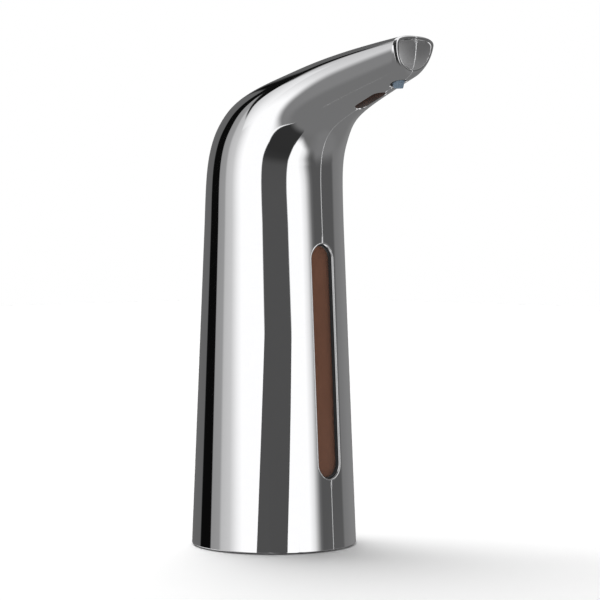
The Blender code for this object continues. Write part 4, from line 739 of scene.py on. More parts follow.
    def tip_rows(self, turns: Array, outer: Array, normals: Array,
                 inner: Array) -> tuple[Array, Array, Array]:
        """Adds the bevel round the end face, the face's flat rim and its inner edge."""
        tip = outer[-1]
        behind = FORM.points(np.array([1 - FORM.rim_back_share]), turns[None])[0]
        far = FORM.face(turns)
        length = np.linalg.norm(far - tip, axis=1, keepdims=True)
        bulge = (tip + far) / 2 + 2 * unit(tip - behind) * length * FORM.rim_bulge_share
        rows = [bow(tip, bulge, far, share) for share in self.tip_bevel]
        crease = FORM.face_rim * self.crease_share
        for rim, set_back in ((crease, 0.0), (FORM.face_rim - crease, 0.0), (FORM.face_rim, crease)):
            rows.append(FORM.face(turns, rim, set_back))
        for row in rows:
            for end in (0, -1):
                row[end, 1] = max(row[end, 1], SEAM_GAP / 2 + self.seam_edge)
        grid = np.concatenate((tip[None], rows))
        facets = unit(np.cross(np.gradient(grid, axis=1), np.gradient(grid, axis=0)))
        flat = np.repeat(FORM.face_normal()[None], len(turns), axis=0)
        inwards = unit(grid[-1].mean(axis=0) - grid[-1])
        row_normals = [facets[2], *facets[2:len(self.tip_bevel) + 1], flat, flat, inwards]
        outer = np.concatenate((outer, rows))
        middle = FORM.points(np.array([self.tip_share]), np.array([[0.5]]))[0, 0, 0]
        last = int(np.flatnonzero(outer[:, outer.shape[1] // 2, 0] < middle)[-1])
        end = FORM.face(turns, FORM.face_rim, WALL)
        end[0, 1] = end[-1, 1] = SEAM_GAP / 2
        inner = np.concatenate((inner, np.repeat(inner[-1:], len(rows), axis=0)))
        shares = np.linspace(0, 1, len(outer) - last)[:, None, None]
        inner[last:] = inner[last] * (1 - shares) + end * shares
        return outer, np.concatenate((normals, row_normals)), inner

    def skin(self, name: str, loop: Array, normals: Array) -> Piece:
        """Closes rows of rings into one skin with walls at its foot and its tip."""
        rows, count = loop.shape[:2]
        faces = grid_faces(rows, count, True).tolist()
        wide = self.columns + 1
        extra = (count - 2 * wide) // 2
        corners = np.arange(rows * count).reshape(rows, count)
        for row, order in ((corners[0], 1), (corners[-1], -1)):
            outside = row[:wide]
            inside = row[wide + extra:2 * wide + extra][::-1]
            walls = list(zip(outside, inside, inside[1:], outside[1:]))
            walls.append((outside[-1], inside[-1], *row[wide:wide + extra][::-1]))
            walls.append((outside[0], *row[2 * wide + extra:][::-1], inside[0]))
            faces += [wall[::order] for wall in walls]
        return new_mesh(name, loop.reshape(-1, 3), faces, normals.reshape(-1, 3))


@dataclass(frozen=True)
class Tree:
    """A node tree that takes nodes with their settings and inputs at once."""

    tree: bpy.types.NodeTree

    def feed(self, node: bpy.types.Node, inputs: dict) -> None:
        """Links a node's inputs to sockets, or gives them values."""
        for name, value in inputs.items():
            if isinstance(value, Socket):
                self.tree.links.new(value, node.inputs[name])
            else:
                node.inputs[name].default_value = value

    def add(self, kind: str, inputs: dict | None = None, output: int | str = 0,
            **settings: object) -> Socket:
        """Adds a node.

        Args:
            kind: Its type, without the word that they all start with.
            inputs: Sockets or values by the input's name or number.
            output: The output to give back.
            **settings: Its properties.

        Returns:
            The socket of that output.
        """
        node = self.tree.nodes.new(f"ShaderNode{kind}")
        for name, value in settings.items():
            setattr(node, name, value)
        self.feed(node, inputs or {})
        return node.outputs[output]

    def math(self, operation: str, *inputs: object) -> Socket:
        """A Math node fed by sockets or numbers."""
        return self.add("Math", dict(enumerate(inputs)), operation=operation)


def new_material(name: str) -> tuple[bpy.types.Material, Tree, bpy.types.Node]:
    """A new material, its nodes and its shader."""
    material = bpy.data.materials.new(name)
    material.use_nodes = True
    return material, Tree(material.node_tree), material.node_tree.nodes["Principled BSDF"]


@dataclass(frozen=True)
class Finish:
    """A surface finish of one moulded, plated or turned material."""

    name: str
    colour: tuple[float, float, float]
    roughness: float = 0.4
    metallic: float = 0.0
    shade_share: float = 0.06
    grain: float = 900.0
    rough_spread: float = 0.06
    bump: float = 0.02
    bump_scale: float = 1400.0
    transmission: float = 0.0
    ior: float = 1.46
    coat: float = 0.0
    coat_roughness: float = 0.05
    subsurface: float = 0.0
    subsurface_depth: float = 0.002
    specular: float = 0.5
    smear_share: float = 1 / 9
    bump_height: float = 0.0001
    streak: tuple[float, float, float] = (1.0, 1.0, 1.0)

    def make(self) -> bpy.types.Material:
        """Builds the material's nodes.

        Returns:
            The material.
        """
        material, tree, shader = new_material(self.name)
        own = tree.add("TexCoord", output="Object")
        place = tree.add("Mapping", {"Scale": self.streak, "Vector": own})

        def noise(scale: float, detail: float) -> Socket:
            return tree.add("TexNoise", {"Scale": scale, "Detail": detail, "Vector": place}, "Fac")

        dark, light = ((*(min(value * shade, 1.0) for value in self.colour), 1)
                       for shade in (1 - self.shade_share, 1 + self.shade_share))
        tint = {"A": dark, "B": light, "Factor": noise(self.grain, 4.0)}
        spread = {"To Min": max(self.roughness - self.rough_spread, 0.0),
                  "To Max": self.roughness + self.rough_spread,
                  "Value": noise(self.grain * self.smear_share, 3.0)}
        tree.feed(shader, {
            "Base Color": tree.add("Mix", tint, "Result", data_type="RGBA"),
            "Roughness": tree.add("MapRange", spread, "Result"),
            "Metallic": self.metallic,
            "IOR": self.ior,
            "Specular IOR Level": self.specular,
            "Transmission Weight": self.transmission,
            "Coat Weight": self.coat,
            "Coat Roughness": self.coat_roughness,
            "Subsurface Weight": self.subsurface,
            "Subsurface Scale": self.subsurface_depth,
        })
        if self.bump:
            height = noise(self.bump_scale, 2.0)
            bump = {"Strength": self.bump, "Distance": self.bump_height, "Height": height}
            tree.feed(shader, {"Normal": tree.add("Bump", bump)})
        return material


CHROME = Finish("mirror_chrome", (0.83, 0.83, 0.84), 0.035, 1.0, 0.012, 220.0, 0.015, 0.0)
SATIN = Finish("satin_chrome", (0.95, 0.95, 0.96), 0.32, 1.0, 0.02, 700.0, 0.02, 0.0)
FINISHES = {
    "chrome": CHROME,
    "smoked_plastic": Finish("smoked_plastic", (0.205, 0.092, 0.056), 0.06, 0.0, 0.08, 60.0, 0.02, 0.0,
                             coat=0.5),
    "sensor_black": Finish("sensor_lens", (0.024, 0.0085, 0.0045), 0.12, 0.0, 0.1, 60.0, 0.02, 0.0,
                           specular=0.12),
    "black_rubber": Finish("black_rubber", (0.012, 0.012, 0.013), 0.55, 0.0, 0.15, 1600.0, 0.1, 0.25),
    "blue_grey_plastic": Finish("nozzle_plastic", (0.16, 0.22, 0.285), 0.3, 0.0, 0.05, 500.0, 0.05, 0.06),
    "white_plastic": Finish("white_plastic", (0.72, 0.72, 0.70), 0.42, 0.0, 0.03, 700.0, 0.06, 0.12),
    "grey_plastic": Finish("grey_plastic", (0.20, 0.20, 0.21), 0.5, 0.0, 0.07, 900.0, 0.08, 0.3, 2600.0),
    "clear_plastic": Finish("tank_plastic", (0.74, 0.77, 0.78), 0.3, 0.0, 0.03, 90.0, 0.1, 0.05,
                            transmission=0.55, subsurface=0.2),
    "silicone": Finish("silicone", (0.62, 0.64, 0.64), 0.5, 0.0, 0.04, 500.0, 0.08, 0.1, subsurface=0.3),
    "steel": Finish("turned_steel", (0.60, 0.60, 0.58), 0.28, 1.0, 0.06, 500.0, 0.08, 0.08,
                    streak=(1, 1, 12)),
    "brass": Finish("contact_brass", (0.72, 0.55, 0.25), 0.3, 1.0, 0.08, 400.0, 0.1, 0.08),
    "board_green": Finish("board_lacquer", (0.02, 0.16, 0.06), 0.4, 0.0, 0.2, 420.0, 0.1, 0.1, coat=0.3),
    "battery_jacket": Finish("battery_film", (0.10, 0.10, 0.11), 0.3, 0.3, 0.05, 300.0, 0.06, 0.0,
                             coat=0.4),
    "red_insulation": Finish("red_insulation", (0.50, 0.02, 0.02), 0.42, 0.0, 0.05, 600.0, 0.06, 0.05),
    "lamp_clear": Finish("lamp_clear", (0.75, 0.78, 0.80), 0.12, 0.0, 0.02, 200.0, 0.04, 0.0,
                         transmission=0.5),
}


def dress_nodes(materials: dict[str, bpy.types.Material]) -> None:
    """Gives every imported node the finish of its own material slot."""
    slots = {part["node"]: part["material_slot"] for part in frame["record"]["subparts"]}
    for name, obj in frame["nodes"].items():
        obj.data.materials.clear()
        obj.data.materials.append(materials[slots[name]])


def select_only(obj: Piece | None = None) -> None:
    """Selects one piece and makes it the active one, or selects nothing."""
    bpy.ops.object.select_all(action="DESELECT")
    if obj:
        bpy.context.view_layer.objects.active = obj
        obj.select_set(True)


def set_mode(mode: str, action: str = "SELECT") -> None:
    """Goes to object mode, or to edit mode with everything or nothing selected."""
    bpy.ops.object.mode_set(mode=mode)
    if mode == "EDIT":
        bpy.ops.mesh.select_all(action=action)


def begin(name: str) -> Piece:
    """Names the object that a primitive has just made."""
    obj = bpy.context.object
    obj.name = obj.data.name = name
    return obj


def finish_edit(obj: Piece, matrix: Matrix) -> Piece:
    """Closes a piece modelled from a primitive and puts it in its place."""
    set_mode("EDIT")
    bpy.ops.mesh.remove_doubles(threshold=AXIS_RADIUS * 4)
    return close(obj, matrix, SMOOTH)


def close(obj: Piece, matrix: Matrix, smooth: float) -> Piece:
    """Ends the work on a piece in edit mode.

    Args:
        obj: The piece, with all its faces selected.
        matrix: What moves it from where it is to its place.
        smooth: The angle in degrees under which its faces shade as one.

    Returns:
        The piece, at the origin, with its faces pointing outwards.
    """
    bpy.ops.mesh.normals_make_consistent(inside=False)
    set_mode("OBJECT")
    obj.data.transform(matrix @ obj.matrix_world)
    obj.matrix_world = Matrix()
    bpy.ops.object.shade_smooth_by_angle(angle=math.radians(smooth))
    return obj


def turned(name: str, profile: Sequence[tuple[float, float]], matrix: Matrix, sides: int,
           closed: bool = False) -> Piece:
    """Turns a profile about Z by drawing a ring up and in from point to point.

    Args:
        name: The piece's name.
        profile: Points of (radius, height), from axis to axis unless it is closed.
        matrix: The piece's place.
        sides: How many steps go round.
        closed: Whether the profile comes back to its first point.

    Returns:
        The piece.
    """
    points = [(max(radius, AXIS_RADIUS), height) for radius, height in profile]
    points += points[:1] if closed else []
    select_only()
    bpy.ops.mesh.primitive_circle_add(vertices=sides, radius=points[0][0], location=(0, 0, points[0][1]))
    obj = begin(name)
    set_mode("EDIT")
    for (radius, height), (next_radius, next_height) in zip(points, points[1:]):
        rise = {"value": (0, 0, next_height - height)}
        bpy.ops.mesh.extrude_region_move(TRANSFORM_OT_translate=rise)
        share = next_radius / radius
        bpy.ops.transform.resize(value=(share, share, 1), center_override=(0, 0, next_height))
    return finish_edit(obj, matrix)


def softened(points: Sequence[tuple[float, float]], radius: float, closed: bool = False,
             steps: int = 4) -> list[tuple[float, float]]:
    """Rounds the corners of a profile.

    Args:
        points: Its corners; where it isn't closed, the two ends stay sharp.
        radius: How far from each corner the rounding starts.
        closed: Whether it comes back to its first point.
        steps: How many steps each rounding has.

    Returns:
        The rounded profile.
    """
    corners = [np.array(point, float) for point in points]
    result = [] if closed else [tuple(points[0])]
    for k in range(len(corners)) if closed else range(1, len(corners) - 1):
        here = corners[k]
        before = corners[k - 1] - here
        after = corners[(k + 1) % len(corners)] - here
        reach = min(radius, np.linalg.norm(before) / 2.1, np.linalg.norm(after) / 2.1)
        start, end = here + unit(before) * reach, here + unit(after) * reach
        result += [tuple(bow(start, here, end, share).tolist()) for share in np.linspace(0, 1, steps + 1)]
    return result if closed else [*result, tuple(points[-1])]


def modify(obj: Piece, kind: str, **settings: object) -> None:
    """Gives a piece a modifier and applies it."""
    bpy.context.view_layer.objects.active = obj
    modifier = obj.modifiers.new(kind, kind)
    for name, value in settings.items():
        setattr(modifier, name, value)
    bpy.ops.object.modifier_apply(modifier=modifier.name)


def add_bevel(obj: Piece, width: float, segments: int = 3, angle: float = 40.0) -> None:
    """Rounds a piece's edges that are sharper than this angle in degrees."""
    modify(obj, "BEVEL", width=width, segments=segments, limit_method="ANGLE",
           angle_limit=math.radians(angle), use_clamp_overlap=True)


def oblong(name: str, size: tuple[float, float], low: float, high: float, matrix: Matrix,
           edge: float, band: float = 0.0) -> Piece:
    """A plate or a ring with round ends, long along X, with rounded edges.

    Args:
        name: The piece's name.
        size: Its length and width.
        low: Its underside.
        high: Its top.
        matrix: Its place.
        edge: How far its edges are rounded.
        band: The width of the ring, or 0 for a plate.

    Returns:
        The piece.
    """
    length, width = size
    select_only()
    bpy.ops.mesh.primitive_circle_add(vertices=OBLONG_SIDES, radius=width / 2,
                                      rotation=(0, 0, math.pi / OBLONG_SIDES),
                                      fill_type="NOTHING" if band else "NGON")
    obj = begin(name)
    bpy.ops.object.transform_apply(location=True, rotation=True)
    for sign in (1, -1):
        set_mode("EDIT", "DESELECT")
        bpy.ops.mesh.select_mode(type="VERT")
        set_mode("OBJECT")
        for corner in obj.data.vertices:
            corner.select = corner.co.x * sign > 0
        bpy.ops.object.mode_set(mode="EDIT")
        bpy.ops.transform.translate(value=((length - width) / 2 * sign, 0, 0))
    set_mode("EDIT")
    bpy.ops.transform.translate(value=(0, 0, low))
    bpy.ops.mesh.extrude_region_move(TRANSFORM_OT_translate={"value": (0, 0, high - low)})
    set_mode("EDIT")
    bpy.ops.mesh.normals_make_consistent(inside=False)
    set_mode("OBJECT")
    if band:
        modify(obj, "SOLIDIFY", thickness=band, offset=-1, use_even_offset=True)
    add_bevel(obj, edge)
    return finish_edit(obj, matrix)


def block(name: str, low: Sequence[float], high: Sequence[float], matrix: Matrix, edge: float) -> Piece:
    """A block between two corners, with rounded edges."""
    select_only()
    bpy.ops.mesh.primitive_cube_add(size=1, location=[(a + b) / 2 for a, b in zip(low, high)])
    obj = begin(name)
    obj.scale = [b - a for a, b in zip(low, high)]
    bpy.ops.object.transform_apply(location=True, scale=True)
    add_bevel(obj, edge)
    return finish_edit(obj, matrix)


def refined(node: str, name: str, edge: float, smooth: float = 38.0) -> Piece:
    """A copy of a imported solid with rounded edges.

    Args:
        node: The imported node.
        name: The copy's name.
        edge: How far its edges are rounded.
        smooth: The angle in degrees under which its faces shade as one.

    Returns:
        The copy, in the same place.
    """
    obj = frame["nodes"][node].copy()
    obj.data = obj.data.copy()
    obj.name = name
    bpy.context.collection.objects.link(obj)
    obj.parent = None
    obj.matrix_world = Matrix()
    select_only(obj)
    set_mode("EDIT")
    bpy.ops.mesh.remove_doubles(threshold=AXIS_RADIUS)
    bpy.ops.mesh.dissolve_limited(angle_limit=math.radians(1))
    set_mode("OBJECT")
    add_bevel(obj, edge, segments=2)
    set_mode("EDIT")
    return close(obj, Matrix(), smooth)


@dataclass
class Assembly:
    """A group of pieces that ride one body and share the scene's finishes."""

    materials: dict[str, bpy.types.Material]
    body: str = "casing"

    def place(self, obj: Piece, slot: str, *nodes: str, body: str = "") -> None:
        """Lets a piece ride its body, in its finish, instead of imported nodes.

        Args:
            obj: The piece.
            slot: The material slot it belongs to.
            *nodes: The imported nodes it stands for.
            body: The body it rides, where it isn't the assembly's own.
        """
        obj.data.materials.clear()
        obj.data.materials.append(self.materials[slot])
        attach(obj, body or self.body)
        if nodes:
            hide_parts(*nodes)
        LOG.info("%s: %d faces", obj.name, len(obj.data.polygons))


def across(spot: Sequence[float]) -> Matrix:
    """A place whose Z points along Y."""
    return Matrix.Translation(Vector(spot)) @ Matrix.Rotation(math.radians(-90), 4, "X")


@dataclass
class SurfaceDisc:
    """A round piece whose top follows the casing, with a rounded edge and a straight wall."""

    name: str
    spot: Spot
    radius: float
    depth: float
    edge: float = 0.0003
    taper: float = 0.0
    dish: float = 0.0
    rings: int = 26
    sides: int = 144
    edge_steps: int = 4
    under_shares: tuple[float, ...] = (0.75, 0.5, 0.25)

    def build(self) -> Piece:
        """Makes the disc.

        Returns:
            The new object, at the origin.
        """
        angles = np.arange(self.sides) * 2 * np.pi / self.sides
        cos, sin = np.cos(angles), np.sin(angles)
        reach = self.radius - self.edge
        shares = np.linspace(1 / self.rings, 1, self.rings)
        flat = (np.append(np.outer(shares, way).ravel() * reach, 0.0) for way in (cos, sin))
        points, normals = FORM.over(self.spot, *flat)
        centre, centre_normal = points[-1], self.spot.normal
        centre[1] = 0
        centre = centre - centre_normal * self.dish
        rows = points[:-1].reshape(self.rings, self.sides, 3)
        row_normals = normals[:-1].reshape(rows.shape)
        rows = rows - row_normals * self.dish * (1 - shares**2)[:, None, None] ** 2
        tilt = 4 * self.dish * shares * (1 - shares**2) / reach
        out = cos[:, None] * self.spot.tangent + sin[:, None] * np.array((0, 1.0, 0))
        row_normals = unit(row_normals - out[None] * tilt[:, None, None])
        last, facing_up = rows[-1], row_normals[-1]
        out = unit(out - facing_up * (out * facing_up).sum(axis=1, keepdims=True))
        bent, bent_normals = quarter_round(last, facing_up, out, self.edge, self.edge_steps)
        foot = bent[-1] - facing_up * (self.depth - self.edge) - out * self.taper
        grid = [*rows, *bent, foot, foot]
        grid_normals = [*row_normals, *bent_normals, out, -facing_up]
        for share in self.under_shares:
            grid.append(rows[max(int(self.rings * share) - 1, 0)] - facing_up * self.depth)
            grid_normals.append(-facing_up)
        count = len(grid) * self.sides
        faces = grid_faces(len(grid), self.sides, True).tolist()
        turn = np.arange(self.sides)
        after = np.roll(turn, -1)
        faces += [(count, a, b) for a, b in zip(after, turn)]
        below = count - self.sides
        faces += [(count + 1, a + below, b + below) for a, b in zip(turn, after)]
        under = centre - centre_normal * (self.depth - self.dish)
        points = np.concatenate((np.reshape(grid, (-1, 3)), (centre, under)))
        normals = np.concatenate((np.reshape(grid_normals, (-1, 3)), (centre_normal, -centre_normal)))
        return new_mesh(self.name, points, faces, normals)


@dataclass
class FillLid(Assembly):
    """The hinged lid at the back of the shoulder, with its arm, its pin and its stopper."""

    body: str = "fill_lid"
    taper: float = 0.0002
    knuckle_radius: float = 0.0015
    knuckle_half: float = 0.0058
    strap_start: float = 0.0012
    strap_end: float = 0.0046
    strap_low: float = 0.0003
    strap_high: float = 0.0012
    strap_edge: float = 0.00015
    pin_half: float = 0.0086
    rounding: float = 0.0002
    plug_edge: float = 0.0003
    sides: int = 48
    pin_sides: int = 40

    def build(self) -> None:
        """Makes the lid's pieces."""
        radius = LAYOUT.lid_hole - LAYOUT.lid_gap
        lid = SurfaceDisc("fill_lid_plate", LAYOUT.lid, radius, WALL, taper=self.taper)
        self.place(lid.build(), "chrome", "fill_lid")
        hinge, half = LAYOUT.hinge, self.knuckle_half
        pin = across(hinge.origin - hinge.normal * LAYOUT.hinge_depth)
        bore = LAYOUT.pin_radius + LAYOUT.pin_clearance
        ends = ((bore, -half), (self.knuckle_radius, -half), (self.knuckle_radius, half), (bore, half))
        knuckle = turned("lid_knuckle", softened(ends, self.rounding, True), pin, self.sides, True)
        self.place(knuckle, "chrome")
        low, high = (self.strap_start, -half, self.strap_low), (self.strap_end, half, self.strap_high)
        strap = block("lid_strap", low, high, hinge.matrix(LAYOUT.hinge_depth), self.strap_edge)
        self.place(strap, "chrome")
        half, bore = self.pin_half, LAYOUT.pin_radius
        ends = softened(((0, -half), (bore, -half), (bore, half), (0, half)), self.rounding)
        self.place(turned("hinge_pin", ends, pin, self.pin_sides), "steel", "lid_pin", body="casing")
        self.place(refined("fill_plug", "stopper", self.plug_edge), "silicone", "fill_plug")


@dataclass
class PowerButton(Assembly):
    """The button in the spout's top with its stem, and the light ahead of it."""

    body: str = "power_button"
    cap_depth: float = 0.0036
    dish: float = 0.00022
    rounding: float = 0.0002
    stem: tuple = ((0, -0.0066), (0.0018, -0.0066), (0.0018, -0.0045), (0.0068, -0.0045),
                   (0.0068, -0.0037), (0.0050, -0.0037), (0.0050, -0.0030), (0, -0.0030))
    pipe: tuple = ((0, -0.0088), (0.0018, -0.0088), (0.0018, -0.0037), (0.001, -0.0037), (0.001, -0.0003))
    pipe_dome: float = 0.0003
    pipe_sink: float = 0.0001
    dome_angles: tuple[float, ...] = (25, 50, 75)
    cap_rings: int = 18
    cap_sides: int = 96
    stem_sides: int = 64
    pipe_sides: int = 40

    def build(self) -> None:
        """Makes the button and the light."""
        spot = LAYOUT.button
        cap = SurfaceDisc("button_cap", spot, LAYOUT.button_radius, self.cap_depth, dish=self.dish,
                          rings=self.cap_rings, sides=self.cap_sides)
        self.place(cap.build(), "chrome", "power_button")
        stem = softened(self.stem, self.rounding)
        self.place(turned("button_stem", stem, spot.matrix(), self.stem_sides), "chrome")
        radius, drop = self.pipe[-1][0], self.pipe_dome
        dome = [(radius * math.cos(angle), drop * math.sin(angle) - drop)
                for angle in np.radians(self.dome_angles)]
        place = LAYOUT.light.matrix(self.pipe_sink)
        pipe = turned("light_pipe", (*self.pipe, *dome, (0, 0)), place, self.pipe_sides)
        self.place(pipe, "lamp_clear", "indicator_light", body="casing")


@dataclass
class SpoutFace(Assembly):
    """The domed plate in the end of the spout, with the fine groove down its middle."""

    dome: float = 0.0009
    dome_power: float = 0.8
    groove: float = 0.00016
    groove_half: float = 0.0003
    groove_shares: tuple[float, ...] = (0.008, 0.016, 0.024, 0.04)
    thickness: float = 0.0014
    set_back: float = 0.00012
    edge: float = 0.00022
    smooth: float = 50.0
    end_angle: float = 0.06
    first_angle: float = 0.1
    rows: int = 72
    columns: int = 24

    def build(self) -> None:
        """Makes the plate."""
        rim = FORM.face_rim + GAP
        turns = (1 - np.cos(np.linspace(self.end_angle, math.pi - self.end_angle, self.rows))) / 2
        left = FORM.face(turns, rim, self.set_back)
        base = left * np.array((1, 0, 1))
        wide = np.sin(np.linspace(self.first_angle, math.pi / 2, self.columns))
        half = np.concatenate((self.groove_shares, wide))
        shares = np.concatenate((-half[::-1], (0,), half))
        aside = left[:, 1][:, None] * shares
        low, high = FORM.face(np.array([0.0, 1.0]), rim)
        rise = (base - low) @ unit(high - low) / np.linalg.norm(high - low)
        lift = self.dome * (1 - shares**2)[None] * (4 * rise * (1 - rise))[:, None] ** self.dome_power
        lift = lift - self.groove * np.maximum(1 - np.abs(aside) / self.groove_half, 0)
        grid = base[:, None] + FORM.face_normal() * lift[..., None]
        grid[..., 1] = aside
        obj = new_mesh("spout_face_plate", grid.reshape(-1, 3), grid_faces(*aside.shape))
        select_only(obj)
        if obj.data.polygons[len(obj.data.polygons) // 2].normal.dot(Vector(FORM.face_normal())) < 0:
            obj.data.flip_normals()
        modify(obj, "SOLIDIFY", thickness=self.thickness, offset=-1)
        add_bevel(obj, self.edge, angle=self.smooth)
        bpy.ops.object.shade_smooth_by_angle(angle=math.radians(self.smooth))
        self.place(obj, "chrome", "spout_end_cap")
        obj.data.materials.clear()
        obj.data.materials.append(SATIN.make())


@dataclass
class Windows(Assembly):
    """The level window with its soft ring and its bead, and the sensor's lens."""

    glass_depth: float = 0.0039
    glass_thickness: float = 0.0016
    glass_overlap: float = 0.0014
    seal_depth: float = 0.0017
    seal_band: float = 0.001
    rim_band: float = 0.0006
    rim_proud: float = 0.00015
    lens_depth: float = 0.0004
    lens_thickness: float = 0.0014
    glass_edge: float = 0.0003
    fine_edge: float = 0.00025
    rim_edge: float = 0.00028

    def build(self) -> None:
        """Makes the two windows, the ring and the bead."""
        slot = np.array((LAYOUT.slot_length, LAYOUT.slot_width))
        lens = np.array((LAYOUT.sensor_length, LAYOUT.sensor_width))
        window, sensor = LAYOUT.window.matrix(), LAYOUT.sensor.matrix()
        top, thick = -self.glass_depth, self.glass_thickness
        size = slot + 2 * self.glass_overlap
        glass = oblong("level_glass", size, top - thick, top, window, self.glass_edge)
        self.place(glass, "smoked_plastic", "level_window")
        top = -self.seal_depth
        ring = oblong("window_seal", slot - 2 * GAP, top - thick, top, window, self.fine_edge,
                      self.seal_band)
        self.place(ring, "black_rubber", "window_gasket")
        self.rim("window_rim", slot, LAYOUT.window)
        top = -self.lens_depth
        size, low = lens - 2 * GAP, top - self.lens_thickness
        lens = oblong("sensor_lens", size, low, top, sensor, self.fine_edge)
        self.place(lens, "sensor_black", "sensor_window")

    def rim(self, name: str, slot: Array, spot: Spot) -> None:
        """The fine polished bead along a slot's edge, bent with the column's front."""
        bead = oblong(name, slot + self.rim_band / 2, -self.rim_band, self.rim_proud, spot.matrix(),
                      self.rim_edge, self.rim_band)
        share = (spot.origin[2] - FORM.foot_gap) / (FORM.neck_height - FORM.foot_gap)
        side = float(FORM.width(np.array(share - 1)))
        for corner in bead.data.vertices:
            sink = (spot.origin[0] - FORM.middle_x) * (1 - math.sqrt(1 - (corner.co.y / side) ** 2))
            corner.co -= Vector(spot.normal) * sink
        self.place(bead, "chrome")


@dataclass
class Nozzle(Assembly):
    """The blue-grey cone under the spout, and the black ring round it."""

    cone: tuple = ((0, 0.0022), (0.0011, 0.0021), (0.00125, 0.0019), (0.00135, 0.0003), (0.0015, 0.00008),
                   (0.0018, 0), (0.0022, 0.00003), (0.00242, 0.0003), (0.0030, 0.0030), (0.00306, 0.0034),
                   (0.00306, 0.0070), (0.0030, 0.0072), (0.0030, 0.0150), (0, 0.0150))
    collar_edge: float = 0.00012
    collar_smooth: float = 60.0
    sides: int = 80

    def build(self) -> None:
        """Makes the cone and the ring."""
        place = Matrix.Translation(Vector(LAYOUT.nozzle_tip))
        self.place(turned("nozzle_cone", self.cone, place, self.sides), "blue_grey_plastic", "nozzle")
        ring = refined("nozzle_collar", "collar_ring", self.collar_edge, self.collar_smooth)
        self.place(ring, "black_rubber", "nozzle_collar")


@dataclass
class Foot(Assembly):
    """What the dispenser stands on: its frame, its soft ring, its door and its screws."""

    ring_low: float = 0.0365
    ring_band: float = 0.0033
    ring_top: float = 0.0021
    ring_rounding: float = 0.0005
    frame_edge: float = 0.0002
    door_edge: float = 0.0003
    head: tuple = ((0, 0), (0.0017, 0), (0.0023, 0.00015), (0.0026, 0.0005), (0.0026, 0.0011),
                   (0.0024, 0.0012), (0.0013, 0.0012))
    core_radius: float = 0.0010
    thread_radius: float = 0.0013
    threads: int = 9
    thread_start: float = 0.0016
    thread_end: float = 0.0008
    cross_turns: tuple[float, float] = (20, 110)
    cross_size: tuple[float, float] = (0.0015, 0.0003)
    cross_rise: tuple[float, float] = (-0.0002, 0.0006)
    cross_edge: float = 5e-5
    ring_sides: int = 192
    screw_sides: int = 40
    screws: int = 4

    def build(self) -> None:
        """Makes the foot's pieces."""
        inner, outer, top = self.ring_low, self.ring_low + self.ring_band, self.ring_top
        corners = ((inner, 0), (outer, 0), (outer, top), (inner, top))
        ring = turned("soft_ring", softened(corners, self.ring_rounding, True),
                      Matrix.Translation((FORM.middle_x, 0, 0)), self.ring_sides, True)
        self.place(ring, "black_rubber", "foot_ring")
        self.place(refined("base_frame", "frame_plate", self.frame_edge), "grey_plastic", "base_frame")
        door = refined("battery_door", "door_plate", self.door_edge)
        self.place(door, "grey_plastic", "battery_door", body="battery_door")
        for k in range(1, self.screws + 1):
            self.screw(k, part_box(f"shell_screw_{k}"))

    def screw(self, number: int, box: Sequence) -> None:
        """A screw in its solid's box, with its head down, a cross cut in it and a threaded shank."""
        (left, near, low), (right, far, high) = box
        place = Matrix.Translation(((left + right) / 2, (near + far) / 2, 0))
        start, end = low + self.thread_start, high - self.thread_end
        pitch = (end - start) / self.threads
        profile = [(radius, low + rise) for radius, rise in self.head]
        for k in range(self.threads):
            profile.append((self.core_radius, start + pitch * k))
            profile.append((self.thread_radius, start + pitch * (k + 0.5)))
        profile += [(self.core_radius, end), (0, high)]
        obj = turned(f"frame_screw_{number}", profile, place, self.screw_sides)
        long, wide = self.cross_size
        bottom, top = (low + rise for rise in self.cross_rise)
        for turn in self.cross_turns:
            slot = block("cross_cut", (-long, -wide, bottom), (long, wide, top),
                         place @ Matrix.Rotation(math.radians(turn), 4, "Z"), self.cross_edge)
            modify(obj, "BOOLEAN", object=slot, operation="DIFFERENCE", solver="EXACT")
            bpy.data.objects.remove(slot)
        select_only(obj)
        bpy.ops.object.shade_smooth_by_angle(angle=math.radians(SMOOTH))
        self.place(obj, "steel", f"shell_screw_{number}")


@dataclass(frozen=True)
class Photo:
    """The camera that took the photograph, and its frame."""

    azimuth: float = 45.0
    distance: float = 1.10
    height: float = 0.16047
    lens: float = 127.75
    sensor: float = 36.0
    pitch: float = -1.794
    yaw: float = 0.7
    far_clip: float = 20.0

    def axes(self) -> tuple[Vector, Vector, Vector]:
        """The directions right, up and towards the camera, level and through the column."""
        turn = math.radians(self.azimuth)
        towards = Vector((math.sin(turn), -math.cos(turn), 0))
        return Vector((math.cos(turn), math.sin(turn), 0)), Vector((0, 0, 1)), towards

    def build(self) -> None:
        """Adds the camera and makes it the scene's own."""
        right, _, towards = self.axes()
        data = bpy.data.cameras.new("photo_camera")
        data.lens = self.lens
        data.sensor_width = self.sensor
        data.clip_end = self.far_clip
        camera = bpy.data.objects.new("photo_camera", data)
        bpy.context.collection.objects.link(camera)
        camera.location = Vector((FORM.middle_x, 0, self.height)) + towards * self.distance
        yaw, pitch = math.radians(self.yaw), math.radians(self.pitch)
        look = (-towards * math.cos(yaw) + right * math.sin(yaw)) * math.cos(pitch)
        look.z = math.sin(pitch)
        camera.rotation_euler = look.to_track_quat("-Z", "Y").to_euler()
        bpy.context.scene.camera = camera


